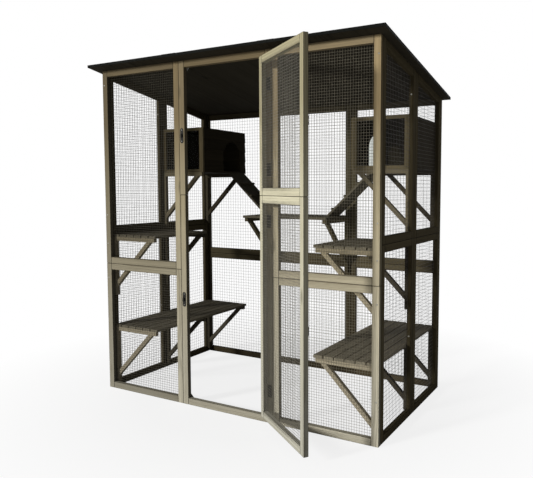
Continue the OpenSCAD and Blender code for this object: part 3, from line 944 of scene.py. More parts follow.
def weave_net(node, pitch, width, lap=0.0, inward=Vector((0, 1, 0))):
    """Welded wires for every window of a net, the level ones on the upright ones."""
    dice = random.Random(node)
    radius = width / 2
    wires = Wires(radius)
    up = Vector((0, 0, 1))
    rise = inward * (NET_SETBACK + radius)
    for window in windows_of(node):
        columns = round(window.width / pitch)
        tallest = max(window.tops)
        rows = round((tallest - window.foot) / pitch)
        for k in range(columns + 1):
            wander = dice.uniform(-WIRE_WANDER, WIRE_WANDER)
            reach = radius + (window.width - width) * k / columns + wander
            reach = min(max(reach, radius), window.width - radius)
            foot = window.place(reach, -radius, window.foot + radius)
            top = window.place(reach, -radius, window.top(reach) - radius)
            wires.add(foot, top)
            if lap:
                wires.add_lap(foot, -up, rise, lap)
                wires.add_lap(top, up, rise, lap)
        for k in range(rows + 1):
            height = window.foot + radius + (tallest - window.foot - width) * k / rows
            reaches = [window.width * n / TOP_STEPS for n in range(TOP_STEPS + 1)]
            inside = [reach for reach in reaches if window.top(reach) >= height + radius]
            if len(inside) > 2:
                near = window.place(inside[0] + radius, radius, height)
                far = window.place(inside[-1] - radius, radius, height)
                wires.add(near, far)
                if lap:
                    wires.add_lap(near, -window.side, rise, lap)
                    wires.add_lap(far, window.side, rise, lap)
    return wires.mesh(node)


def heads_mesh(name, spots, radius, height):
    """Low round heads at (place, outward direction) pairs, each with a small dished middle."""
    verts, faces = [], []
    for place, outward in spots:
        turn = Vector(outward).to_track_quat("Z", "X")
        base = len(verts)
        for share, rise in HEAD_RINGS:
            for k in range(HEAD_SIDES):
                angle = 2 * math.pi * k / HEAD_SIDES
                reach = radius * share
                rim = Vector((reach * math.cos(angle), reach * math.sin(angle), height * rise))
                verts.append(Vector(place) + turn @ rim)
        last = base + (len(HEAD_RINGS) - 1) * HEAD_SIDES
        for low in range(base, last, HEAD_SIDES):
            high = low + HEAD_SIDES
            for k in range(HEAD_SIDES):
                after = (k + 1) % HEAD_SIDES
                faces.append((low + k, low + after, high + after, high + k))
        faces.append(tuple(last + k for k in range(HEAD_SIDES)))
        faces.append(tuple(base + HEAD_SIDES - 1 - k for k in range(HEAD_SIDES)))
    mesh = bpy.data.meshes.new(name)
    mesh.from_pydata(verts, [], faces)
    return mesh


def joint_of(name):
    """The record's joint of that name."""
    return next(j for j in frame["record"]["behaviour"]["joints"] if j["name"] == name)


def door_swing():
    """The turn that takes the shut door to where it stands open."""
    hinge = joint_of("door_hinge")
    pin = Matrix.Translation(Vector(hinge["pos_m"]))
    turn = Matrix.Rotation(math.radians(-hinge["range_deg"][0]), 4, "Z")
    return pin @ turn @ pin.inverted()


def door_inward():
    """The way from the open door's outer face to its inner one."""
    return door_swing().to_3x3() @ Vector((0, 1, 0))


# Finishes

WHITE = (1, 1, 1, 1)
BENDS = (2.2, 14, 14)  # bends of the grain to a metre, along a timber and across it
BEND_REACH = 0.022  # how far a bend takes the rings aside
FIBRES = (14, 420, 420)  # the same count of fibres, and below of streaks, blotches and knots
STREAKS = (0.8, 70, 70)
BLOTCHES = (3.0, 16, 16)
KNOTS = (3.1, 9, 9)
RING_WEIGHT = 0.22  # how much the rings count in the figure, and below the other layers
FIBRE_WEIGHT = 0.4
BLOTCH_WEIGHT = 0.3
STREAK_WEIGHT = 0.6
SEAM_SHADE_TONE = 0.12  # how dark a seam between timbers is against the wood beside it: the real joint with painted shade in its groove
STREAK_TINT = (0.42, 0.36, 0.28)  # a dark streak's red, green and blue as shares of the stain's
GRIT_TINT = (0.85, 1, 0.82)  # the same for the green grit on the felt
WALL_ENDS = (-0.85, 0.85)  # x of the front wall's left and right end
FRONT_WIRE_PAINTED_LIGHT = (0.35, 1.9)  # painted light: how bright the front wall's wires are written at its left and right end


class Nodes:
    """A tree of shader nodes, built link by link."""

    def __init__(self, tree):
        self.tree = tree

    def node(self, kind, inputs=(), **settings):
        """A new node with its settings, and its inputs set or linked."""
        made = self.tree.nodes.new(kind)
        for key, value in settings.items():
            setattr(made, key, value)
        self.fill(made, inputs)
        return made

    def fill(self, node, inputs):
        """Sets or links some inputs of a node."""
        for key, value in dict(inputs).items():
            self.set(node.inputs[key], value)

    def set(self, socket, value):
        """Links a socket to another node's output, or gives it a value."""
        if isinstance(value, bpy.types.NodeSocket):
            self.tree.links.new(value, socket)
        else:
            socket.default_value = value

    def arithmetic(self, operation, first, second, clamp=False):
        """Arithmetic on two numbers, held between 0 and 1 where clamp is given."""
        inputs = {0: first, 1: second}
        made = self.node("ShaderNodeMath", inputs, operation=operation, use_clamp=clamp)
        return made.outputs[0]

    def add(self, first, second):
        """The sum of two numbers."""
        return self.arithmetic("ADD", first, second)

    def times(self, first, second):
        """The product of two numbers."""
        return self.arithmetic("MULTIPLY", first, second)


class Finish(Nodes):
    """A material made from nodes."""

    def __init__(self, name):
        self.material = bpy.data.materials.new(name)
        self.material.use_nodes = True
        super().__init__(self.material.node_tree)
        self.surface = self.tree.nodes["Principled BSDF"]

    def coordinates(self):
        """The place on the object."""
        return self.node("ShaderNodeTexCoord").outputs["Object"]

    def attribute(self, name):
        """The outputs of a node that reads what the mesh stores under that name."""
        return self.node("ShaderNodeAttribute", attribute_name=name).outputs

    def stretch(self, vector, scale):
        """A vector with each of its parts scaled."""
        made = self.node("ShaderNodeVectorMath", {0: vector, 1: scale}, operation="MULTIPLY")
        return made.outputs[0]

    def toned(self, colour, tone):
        """A colour made darker or brighter by a number."""
        tones = self.node("ShaderNodeCombineXYZ", {0: tone, 1: tone, 2: tone}).outputs[0]
        return self.stretch(colour, tones)

    def cloud(self, vector, scale=1.0, detail=3, rough=0.55, output="Fac"):
        """Soft noise from 0 to 1."""
        inputs = {"Vector": vector, "Scale": scale, "Detail": detail, "Roughness": rough}
        return self.node("ShaderNodeTexNoise", inputs).outputs[output]

    def cells(self, vector, scale=1.0):
        """The outputs of a pattern of cells."""
        return self.node("ShaderNodeTexVoronoi", {"Vector": vector, "Scale": scale}).outputs

    def span(self, value, low, high, to_low=0.0, to_high=1.0):
        """A number taken from one span to another and held there."""
        inputs = {0: value, 1: low, 2: high, 3: to_low, 4: to_high}
        return self.node("ShaderNodeMapRange", inputs).outputs[0]

    def blend(self, share, first, second):
        """Two colours mixed."""
        made = self.node("ShaderNodeMix", data_type="RGBA")
        self.fill(made, {"Factor": share, 6: first, 7: second})
        return made.outputs[2]

    def ramp(self, value, first, middle, last):
        """A colour picked by a number from three (number, colour) pairs."""
        made = self.node("ShaderNodeValToRGB", {0: value})
        stops = made.color_ramp.elements
        for stop, (place, colour) in zip(stops, (first, last)):
            stop.position = place
            stop.color = colour
        stops.new(middle[0]).color = middle[1]
        return made.outputs[0]

    def bump(self, height, strength, distance):
        """Fine relief on the surface."""
        inputs = {"Height": height, "Strength": strength, "Distance": distance}
        relief = self.node("ShaderNodeBump", inputs).outputs[0]
        self.fill(self.surface, {"Normal": relief})


def tint(colour, shares):
    """A colour with its red, green and blue made darker or lighter, with its opacity."""
    return tuple(min(1.0, c * share) for c, share in zip(colour, shares)) + (1.0,)


def shade(colour, share):
    """A colour made darker or lighter, with its opacity."""
    return tint(colour, (share, share, share))


def wood_finish(name, ground, middle, eaves, ring_pitch):
    """Stained softwood with rings, streaks, fibres and knots, its colour changing with height, some
    stains carrying painted shade and painted light, with painted shade on reveals and seams.
    """
    wood = Finish(name)
    grain = wood.attribute("grain")["Vector"]
    stain = wood.attribute("stain")["Vector"]
    seam = wood.attribute("seam")["Fac"]
    reveal_shade = wood.attribute("reveal_shade")["Fac"]
    tone, height, hue = wood.node("ShaderNodeSeparateXYZ", {0: stain}).outputs

    # Growth rings round the heart of the tree, which wander a little along the timber
    bends = wood.cloud(wood.stretch(grain, BENDS), detail=2, rough=0.5, output="Color")
    aside = wood.stretch(bends, (0.0, BEND_REACH, BEND_REACH))
    bent = wood.node("ShaderNodeVectorMath", {0: grain, 1: aside}, operation="ADD").outputs[0]
    trunk = wood.node("ShaderNodeSeparateXYZ", {0: bent}).outputs
    square = wood.add(wood.times(trunk[1], trunk[1]), wood.times(trunk[2], trunk[2]))
    from_heart = wood.arithmetic("POWER", square, 0.5)
    turns = wood.times(from_heart, 2 * math.pi / ring_pitch)
    rings = wood.span(wood.arithmetic("SINE", turns, 0.0), -1.0, 1.0)

    # Layers drawn out along the timber, which add up to its figure, and its knots
    fibres = wood.cloud(wood.stretch(grain, FIBRES), detail=3)
    streaks = wood.cloud(wood.stretch(grain, STREAKS), detail=2)
    blotches = wood.cloud(wood.stretch(grain, BLOTCHES), detail=4, rough=0.6)
    knot_cells = wood.cells(wood.stretch(grain, KNOTS))["Distance"]
    knots = wood.span(knot_cells, 0.05, 0.13, to_low=1.0, to_high=0.0)
    figure = wood.times(rings, RING_WEIGHT)
    figure = wood.add(figure, wood.times(fibres, FIBRE_WEIGHT))
    figure = wood.add(figure, wood.times(blotches, BLOTCH_WEIGHT))
    figure = wood.add(figure, wood.times(streaks, STREAK_WEIGHT))

    # The stain by height, then its figure, its tone with painted shade towards the back and on its
    # reveals, and the painted shade in its seams
    stained = wood.ramp(
        wood.arithmetic("DIVIDE", height, HEIGHT_OF_RAMP),
        (GROUND_SHARE, shade(ground, 1.0)),
        (MIDDLE_SHARE, shade(middle, 1.0)),
        (EAVES_SHARE, shade(eaves, 1.0)),
    )
    bright = wood.span(figure, 0.45, 0.98, to_low=0.62, to_high=1.18)
    seamed = wood.span(seam, 0.0, 1.0, to_low=1.0, to_high=SEAM_SHADE_TONE)
    # The timber's tone with its painted shade towards the back, and the painted shade on its reveals
    sheltered = wood.times(tone, wood.arithmetic("SUBTRACT", 1.0, reveal_shade))
    lit = wood.toned(stained, wood.times(wood.times(bright, sheltered), seamed))
    brown = wood.span(figure, 0.35, 0.68, to_low=0.5, to_high=0.0)
    streaked = wood.blend(brown, lit, tint(middle, STREAK_TINT))
    grey = wood.span(hue, 0.0, 1.0, to_high=0.12)
    greyed = wood.blend(grey, streaked, shade(ground, 0.6))
    knotted = wood.blend(wood.times(knots, 0.55), greyed, shade(middle, 0.22))
    # Painted shade deepened along the seams
    seam_shaded = wood.blend(wood.times(seam, 0.8), knotted, shade(middle, 0.05))
    dull = wood.span(fibres, 0.2, 0.8, to_low=0.72, to_high=0.92)
    surface = {"Base Color": seam_shaded, "Roughness": dull, "Specular IOR Level": 0.03}
    wood.fill(wood.surface, surface)
    wood.bump(wood.add(wood.times(fibres, 0.6), rings), strength=0.35, distance=0.0006)
    return wood.material


def wire_finish(name, colour, tones=(1.0, 1.0)):
    """Dull zinc that has spotted with age, with painted light that may leave it darker on the left
    than on the right.
    """
    wire = Finish(name)
    place = wire.coordinates()
    spots = wire.cloud(place, 60.0, detail=3)
    sweep = wire.cloud(place, 3.0, detail=2)
    worn = wire.blend(wire.span(spots, 0.4, 0.7), shade(colour, 0.75), shade(colour, 1.15))
    stain = wire.span(sweep, 0.35, 0.75, to_high=0.5)
    stained = wire.blend(stain, worn, shade(colour, 0.6))
    across = wire.node("ShaderNodeSeparateXYZ", {0: place}).outputs[0]
    surface = {
        # Painted light: darker towards the wall's left end, paler towards its right
        "Base Color": wire.toned(stained, wire.span(across, *WALL_ENDS, *tones)),
        "Roughness": wire.span(spots, 0.3, 0.7, to_low=0.42, to_high=0.62),
        "Metallic": 0.25,
        "Specular IOR Level": 0.3,
    }
    wire.fill(wire.surface, surface)
    wire.bump(spots, strength=0.2, distance=0.0001)
    return wire.material


def metal_finish(name, colour, metallic, rough):
    """A coated or plated fitting with fine marks and dulled patches."""
    metal = Finish(name)
    place = metal.coordinates()
    patches = metal.cloud(place, 28.0, detail=4)
    marks = metal.cloud(metal.stretch(place, (900, 160, 160)), detail=2)
    worn = metal.span(patches, 0.35, 0.7)
    coated = metal.blend(worn, shade(colour, 0.72), shade(colour, 1.1))
    scuffs = metal.span(marks, 0.62, 0.72, to_high=0.35)
    surface = {
        "Base Color": metal.blend(scuffs, coated, shade(colour, 1.7)),
        "Roughness": metal.span(patches, 0.3, 0.75, to_low=rough, to_high=rough + 0.2),
        "Metallic": metallic,
    }
    metal.fill(metal.surface, surface)
    metal.bump(marks, strength=0.15, distance=0.0001)
    return metal.material


def felt_finish(name, colour):
    """Roofing felt: coarse grit in dark grey and green over bitumen."""
    felt = Finish(name)
    place = felt.coordinates()
    grit = felt.cells(place, 620.0)
    patches = felt.cloud(place, 5.0, detail=4)
    grains = felt.ramp(
        grit["Color"],
        (0.15, shade(colour, 0.45)),
        (0.55, tint(colour, GRIT_TINT)),
        (0.9, shade(colour, 2.3)),
    )
    fade = felt.span(patches, 0.3, 0.75, to_high=0.55)
    surface = {
        "Base Color": felt.blend(fade, grains, shade(colour, 0.7)),
        "Roughness": felt.span(patches, 0.3, 0.7, to_low=0.85, to_high=0.98),
        "Specular IOR Level": 0.25,
    }
    felt.fill(felt.surface, surface)
    felt.bump(grit["Distance"], strength=0.6, distance=0.0012)
    return felt.material


def pane_finish(name, colour):
    """Clear plastic with dust and faint smears."""
    pane = Finish(name)
    place = pane.coordinates()
    smears = pane.cloud(pane.stretch(place, (24, 24, 6)), detail=5)
    dust = pane.cloud(place, 180.0, detail=2)
    clear = pane.span(smears, 0.35, 0.75)
    surface = {
        "Base Color": pane.blend(clear, shade(colour, 0.88), shade(colour, 1.0)),
        "Roughness": pane.span(smears, 0.3, 0.8, to_low=0.01, to_high=0.07),
        "Transmission Weight": 1.0,
        "Specular IOR Level": 0.12,
        "IOR": 1.08,
    }
    pane.fill(pane.surface, surface)
    pane.bump(dust, strength=0.02, distance=0.0001)
    return pane.material


def finish_for(name):
    """The finish of that name, made the first time that it is asked for."""
    made = bpy.data.materials.get(name)
    if made:
        return made
    scene = bpy.context.scene
    timber = scene.cage_timber
    mesh = scene.cage_mesh
    metal = scene.cage_metal
    stains = {
        "front_wood": (timber.ground_colour, timber.front_colour, timber.eaves_shade_colour),
        "side_wood": (timber.side_colour,) * 3,
        "door_wood": (timber.door_foot_colour, timber.door_colour, timber.door_top_colour),
        "back_wood": (timber.low_back_colour, timber.back_colour, timber.back_colour),
        "shelf_wood": (timber.low_shelf_colour, timber.shelf_colour, timber.shelf_colour),
        "bracket_wood": (timber.low_bracket_colour, timber.bracket_colour, timber.bracket_colour),
        "box_front_wood": (timber.box_front_colour,) * 3,
        "box_wood": (timber.box_colour,) * 3,
        "roof_wood": (timber.roof_colour,) * 3,
    }
    if name in stains:
        return wood_finish(name, *stains[name], timber.ring_pitch)
    makers = {
        "front_wire": lambda: wire_finish(name, mesh.front_colour, FRONT_WIRE_PAINTED_LIGHT),
        "side_wire": lambda: wire_finish(name, mesh.side_colour),
        "door_wire": lambda: wire_finish(name, mesh.door_colour),
        "mineral_felt": lambda: felt_finish(name, scene.cage_roof.felt_colour),
        "clear_pane": lambda: pane_finish(name, metal.pane_colour),
        "black_coating": lambda: metal_finish(name, metal.black_colour, metallic=0.3, rough=0.35),
        "dull_zinc": lambda: metal_finish(name, metal.dull_colour, metallic=0.6, rough=0.4),
        "bright_zinc": lambda: metal_finish(name, metal.bright_colour, metallic=0.85, rough=0.28),
        "nail_steel": lambda: metal_finish(name, metal.black_colour, metallic=0.6, rough=0.5),
    }
    return makers[name]()


# Operators

SHELF_PALING_TO_RIGHT = 0.4  # how much paler the shelves get over each metre towards the right
THIN_EDGE = 0.5  # rounding of the edges of slats, brackets and ramps as a share of the usual one
BOX_EDGE = 0.6  # the same for the sleeping boxes
RESTING = 5e-4  # a slat no further than this above an arm lies on it
NAIL_ROOM = 0.012  # least width of wood that takes a nail
NAIL_RISE = 0.0008  # height of a nail's head over its slat
NAIL_SINK = 0.0002  # how far a nail's head is driven into its slat
FELT_STEP = 0.02  # the felt is divided this finely, so that it can swell
AT_EDGE = 1e-4  # felt no further than this from its edge or its top is on it
STRIP_STEP = 0.001  # width of the step at a cover strip's edge
STRIP_THICKNESS = 0.0009
FELT_SWELL = 0.0007  # how unevenly the felt lies
SWELLS = (7, 5)  # swells to a metre, along the roof and down it
SWELL_START = 0.3  # where in the noise the swells begin
NAIL_INSET = 0.014  # from the felt's or a strip's edge to its row of nails
FELT_NAIL_SINK = 0.0012  # how far these nails' heads are set below the felt's highest level
FELT_NAIL_RADIUS = 0.0045
FELT_NAIL_RISE = 0.0011
FITTING_ROUNDING = 0.0003  # how far a fitting's edges are rounded
SCREW_RISE = 0.0005  # height of a small screw's head
HINGE_PLATE = 0.0016  # thickness of a hinge plate on the wall's face
HINGE_SCREW_REACH = 0.6  # share of a hinge plate's width at which its screws stand
HINGE_SCREWS = ((0.8, -0.021), (1.15, 0.0), (0.8, 0.021))  # shares of that, and heights
KEEPER_HEIGHT = 0.03  # a keeper plate is taller than this, the round boss on it isn't
KEEPER_SCREW_INSET = 0.010  # from a keeper plate's end to its screw
CORNER_SCREWS = ((0.3, 0.78), (0.78, 0.3), (0.25, 0.25))  # shares of a plate's width and height
SILL_SIDE = 0.5  # corner plates below this height brace the threshold


class CAGE_OT_walls(bpy.types.Operator):
    """Dress the front, side and back wall frames"""

    bl_idname = "cage.walls"
    bl_label = "Wall Frames"

    def execute(self, context):
        timber = context.scene.cage_timber
        beside = timbers_of(FRONT_FRAMES + SIDE_FRAMES + BACK_FRAMES)
        add_timbers(
            FRONT_FRAMES,
            "cage",
            "timber",
            finish_for("front_wood"),
            beside,
            reveal_shade=(Vector((0, 1, 0)), timber.reveal_shade_tone),
            # painted light, paler towards the right
            weathering=timber.weathering,
            rail_tone=timber.rail_tone,
        )
        side = finish_for("side_wood")
        add_timbers(SIDE_FRAMES, "cage", "side_timber", side, beside, shelter=timber.shelter)
        back = finish_for("back_wood")
        paler = timber.back_weathering
        add_timbers(BACK_FRAMES, "cage", "side_timber", back, beside, weathering=paler)
        return {"FINISHED"}


class CAGE_OT_door(bpy.types.Operator):
    """Dress the two frames of the door"""

    bl_idname = "cage.door"
    bl_label = "Door"

    def execute(self, context):
        beside = timbers_of(DOOR_FRAMES)
        reveal_shade = (door_inward(), context.scene.cage_timber.door_edge_shade_tone)
        finish = finish_for("door_wood")
        add_timbers(DOOR_FRAMES, "door", "door_timber", finish, beside, reveal_shade=reveal_shade)
        return {"FINISHED"}


class CAGE_OT_shelves(bpy.types.Operator):
    """Dress the shelves, brackets and ramps, and nail the slats down"""

    bl_idname = "cage.shelves"
    bl_label = "Shelves And Ramps"

    def execute(self, context):
        timber = context.scene.cage_timber
        add_timbers(
            SHELVES + RAMPS,
            "cage",
            "timber",
            finish_for("shelf_wood"),
            edge_share=THIN_EDGE,
            weathering=SHELF_PALING_TO_RIGHT,
            shelter=timber.shelf_shelter,
        )
        for nodes, finish, shelter in (
            (SIDE_BRACKETS, "bracket_wood", timber.bracket_shelter),
            (["box_brackets"], "bracket_wood", timber.box_shelter),
            (["back_brackets"], "back_wood", 0.0),
        ):
            add_timbers(
                nodes,
                "cage",
                "timber",
                finish_for(finish),
                edge_share=THIN_EDGE,
                trim=timber.bracket_trim,
                weathering=timber.bracket_weathering,
                shelter=shelter,
            )
        self.nail_slats(context.scene.cage_metal.nail_radius)
        return {"FINISHED"}

    def nail_slats(self, radius):
        """Nails through the slats into the brackets' arms."""
        arms = [bounds for node in BRACKETS for bounds in solid_bounds(node)]
        spots = []
        for shelf in SHELVES:
            for low, high in solid_bounds(shelf):
                spots += self.crossings(low, high, arms)
        if not spots:
            raise RuntimeError("no slat rests on an arm, so there is nowhere to nail")
        mesh = heads_mesh("shelf_nails", spots, radius, NAIL_RISE)
        add_piece("shelf_nails", mesh, "cage", finish_for("nail_steel"))

    def crossings(self, low, high, arms):
        """Nail places where a slat lies on an arm."""
        spots = []
        for arm_low, arm_high in arms:
            left, right = max(low.x, arm_low.x), min(high.x, arm_high.x)
            front, back = max(low.y, arm_low.y), min(high.y, arm_high.y)
            rests = abs(low.z - arm_high.z) < RESTING
            if rests and right - left > NAIL_ROOM and back - front > NAIL_ROOM:
                place = ((left + right) / 2, (front + back) / 2, high.z - NAIL_SINK)
                spots.append((place, (0, 0, 1)))
        return spots


class CAGE_OT_boxes(bpy.types.Operator):
    """Dress the sleeping boxes and their window panes"""

    bl_idname = "cage.boxes"
    bl_label = "Sleeping Boxes"

    def execute(self, context):
        add_timbers(
            BOX_FRONTS,
            "cage",
            "timber",
            finish_for("box_front_wood"),
            edge_share=BOX_EDGE,
            # painted light, paler towards the right, as on the front wall
            weathering=context.scene.cage_timber.weathering,
        )
        add_timbers(BOX_WALLS, "cage", "timber", finish_for("box_wood"), edge_share=BOX_EDGE)
        coat_nodes(["box_windows"], finish_for("clear_pane"))
        return {"FINISHED"}


class CAGE_OT_nets(bpy.types.Operator):
    """Weave the wire mesh of the walls and the door"""

    bl_idname = "cage.nets"
    bl_label = "Wire Mesh"

    def execute(self, context):
        mesh = context.scene.cage_mesh
        for node, pitch, finish in (
            ("front_mesh", mesh.front_pitch, "front_wire"),
            ("left_mesh", mesh.side_pitch, "side_wire"),
            ("right_mesh", mesh.side_pitch, "side_wire"),
            ("back_mesh", mesh.side_pitch, "side_wire"),
        ):
            wires = weave_net(node, pitch, mesh.wire_width)
            add_piece(f"{node}_wires", wires, "cage", finish_for(finish), [node])
        width = mesh.door_wire_width
        wires = weave_net("door_mesh", mesh.front_pitch, width, mesh.lap, door_inward())
        finish = finish_for("door_wire")
        add_piece("door_mesh_wires", wires, "door", finish, ["door_mesh"])
        return {"FINISHED"}


class CAGE_OT_roof(bpy.types.Operator):
    """Lay the roof boards, and felt them with cover strips and nails"""

    bl_idname = "cage.roof"
    bl_label = "Roof"

    def execute(self, context):
        roof = context.scene.cage_roof
        add_timbers(["roof_boards"], "cage", "side_timber", finish_for("roof_wood"))
        low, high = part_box("roof_felt")
        joints = sorted(far.x for near, far in solid_bounds("roof_boards"))[:-1]
        shape = cad_solid("roof_felt")
        back_top = max(v.co.z for v in shape.verts if v.co.y > high.y - AT_EDGE)
        slope = (high.z - back_top) / (high.y - low.y)
        self.divide_felt(shape, low, high, joints, roof.strip_width)
        for vert in shape.verts:
            top = high.z - slope * (vert.co.y - low.y)
            if vert.co.z > top - AT_EDGE:
                from_joints = [abs(vert.co.x - joint - STRIP_STEP / 2) for joint in joints]
                strip = any(away < roof.strip_width / 2 for away in from_joints)
                wave = Vector((vert.co.x * SWELLS[0], vert.co.y * SWELLS[1], SWELL_START))
                swell = 0.5 + 0.5 * noise.noise(wave)
                vert.co.z -= FELT_SWELL * swell + (0.0 if strip else STRIP_THICKNESS)
        felt = finish_for("mineral_felt")
        sheets = mesh_of(shape, "roof_felt")
        add_piece("roof_felt_sheets", sheets, "cage", felt, ["roof_felt"])
        self.nail_felt(low, high, slope, joints, roof)
        return {"FINISHED"}

    def divide_felt(self, shape, low, high, joints, strip_width):
        """Cuts the felt into small squares, and twice at each edge of its cover strips."""
        for normal, axis in ((Vector((1, 0, 0)), 0), (Vector((0, 1, 0)), 1)):
            steps = int((high[axis] - low[axis]) / FELT_STEP)
            cuts = [low[axis] + FELT_STEP * k for k in range(1, steps)]
            if axis == 0:
                edges = [j + side * strip_width / 2 for j in joints for side in (-1, 1)]
                cuts += edges + [edge + STRIP_STEP for edge in edges]
            for cut in cuts:
                parts = shape.verts[:] + shape.edges[:] + shape.faces[:]
                bmesh.ops.bisect_plane(shape, geom=parts, plane_co=normal * cut, plane_no=normal)

    def nail_felt(self, low, high, slope, joints, roof):
        """Nails along the felt's four edges and both edges of each cover strip."""
        left, right = low.x + NAIL_INSET, high.x - NAIL_INSET
        front, back = low.y + NAIL_INSET, high.y - NAIL_INSET
        lines = [
            ((left, front), (right, front)),
            ((left, back), (right, back)),
            ((left, front), (left, back)),
            ((right, front), (right, back)),
        ]
        for joint in joints:
            for side in (-1, 1):
                x = joint + side * (roof.strip_width / 2 - NAIL_INSET)
                lines.append(((x, front), (x, back)))
        spots = []
        for start, end in lines:
            count = round(math.dist(start, end) / roof.nail_pitch)
            for k in range(count + 1):
                x = start[0] + (end[0] - start[0]) * k / count
                y = start[1] + (end[1] - start[1]) * k / count
                z = high.z - slope * (y - low.y) - FELT_NAIL_SINK
                spots.append(((x, y, z), (0, slope, 1)))
        nails = heads_mesh("felt_nails", spots, FELT_NAIL_RADIUS, FELT_NAIL_RISE)
        add_piece("felt_nails", nails, "cage", finish_for("bright_zinc"))


class CAGE_OT_fittings(bpy.types.Operator):
    """Finish the hinges, hasps, plates and screws"""

    bl_idname = "cage.fittings"
    bl_label = "Hinges And Hasps"

    def execute(self, context):
        black = finish_for("black_coating")
        bright = finish_for("bright_zinc")
        dull = finish_for("dull_zinc")
        black_nodes = (
            "hinge_frame_leaves",
            "hinge_door_leaves",
            "hasp_plates",
            "lower_hasp_strap",
            "lower_turn_button",
        )
        bright_nodes = (
            "hinge_pins",
            "corner_plates",
            "frame_screws",
            "upper_hasp_strap",
        )
        coat_nodes(black_nodes, black, FITTING_ROUNDING)
        coat_nodes(bright_nodes, bright, FITTING_ROUNDING)
        coat_nodes(["keeper_plates", "upper_turn_button"], dull, FITTING_ROUNDING)
        self.hinge_screws(context, black)
        self.plate_screws(context, bright)
        return {"FINISHED"}

    def hinge_screws(self, context, finish):
        """Three screws in each plate of the butt hinges."""
        radius = context.scene.cage_metal.screw_radius
        pin_x = joint_of("door_hinge")["pos_m"][0]
        plates = solid_bounds("hinge_frame_leaves")
        face_y = min(low.y for low, high in solid_bounds("door_surround_lower")) - HINGE_PLATE
        reach = HINGE_SCREW_REACH * (plates[0][1].x - pin_x)
        swing = door_swing()
        forward = Vector((0, -1, 0))
        fixed, hung = [], []
        for low, high in plates:
            middle = (low.z + high.z) / 2
            for share, lift in HINGE_SCREWS:
                place = Vector((pin_x + reach * share, face_y, middle + lift))
                fixed.append((place, forward))
                mirrored = Vector((2 * pin_x - place.x, face_y, place.z))
                hung.append((swing @ mirrored, swing.to_3x3() @ forward))
        for name, spots, body in (
            ("hinge_screws_fixed", fixed, "cage"),
            ("hinge_screws_hung", hung, "door"),
        ):
            mesh = heads_mesh(name, spots, radius, SCREW_RISE)
            add_piece(name, mesh, body, finish)

    def plate_screws(self, context, finish):
        """A screw at each end of the keeper plates and three in every corner plate."""
        radius = context.scene.cage_metal.screw_radius
        spots = []
        for low, high in solid_bounds("keeper_plates"):
            if high.z - low.z > KEEPER_HEIGHT:
                x = (low.x + high.x) / 2
                for z in (low.z + KEEPER_SCREW_INSET, high.z - KEEPER_SCREW_INSET):
                    spots.append(((x, low.y, z), (0, -1, 0)))
        for low, high in solid_bounds("corner_plates"):
            for x_share, z_share in CORNER_SCREWS:
                outward = x_share if low.x > 0 else 1 - x_share
                upward = z_share if low.z > SILL_SIDE else 1 - z_share
                x = low.x + outward * (high.x - low.x)
                z = low.z + upward * (high.z - low.z)
                spots.append(((x, high.y, z), (0, 1, 0)))
        mesh = heads_mesh("plate_screws", spots, radius, SCREW_RISE)
        add_piece("plate_screws", mesh, "cage", finish)


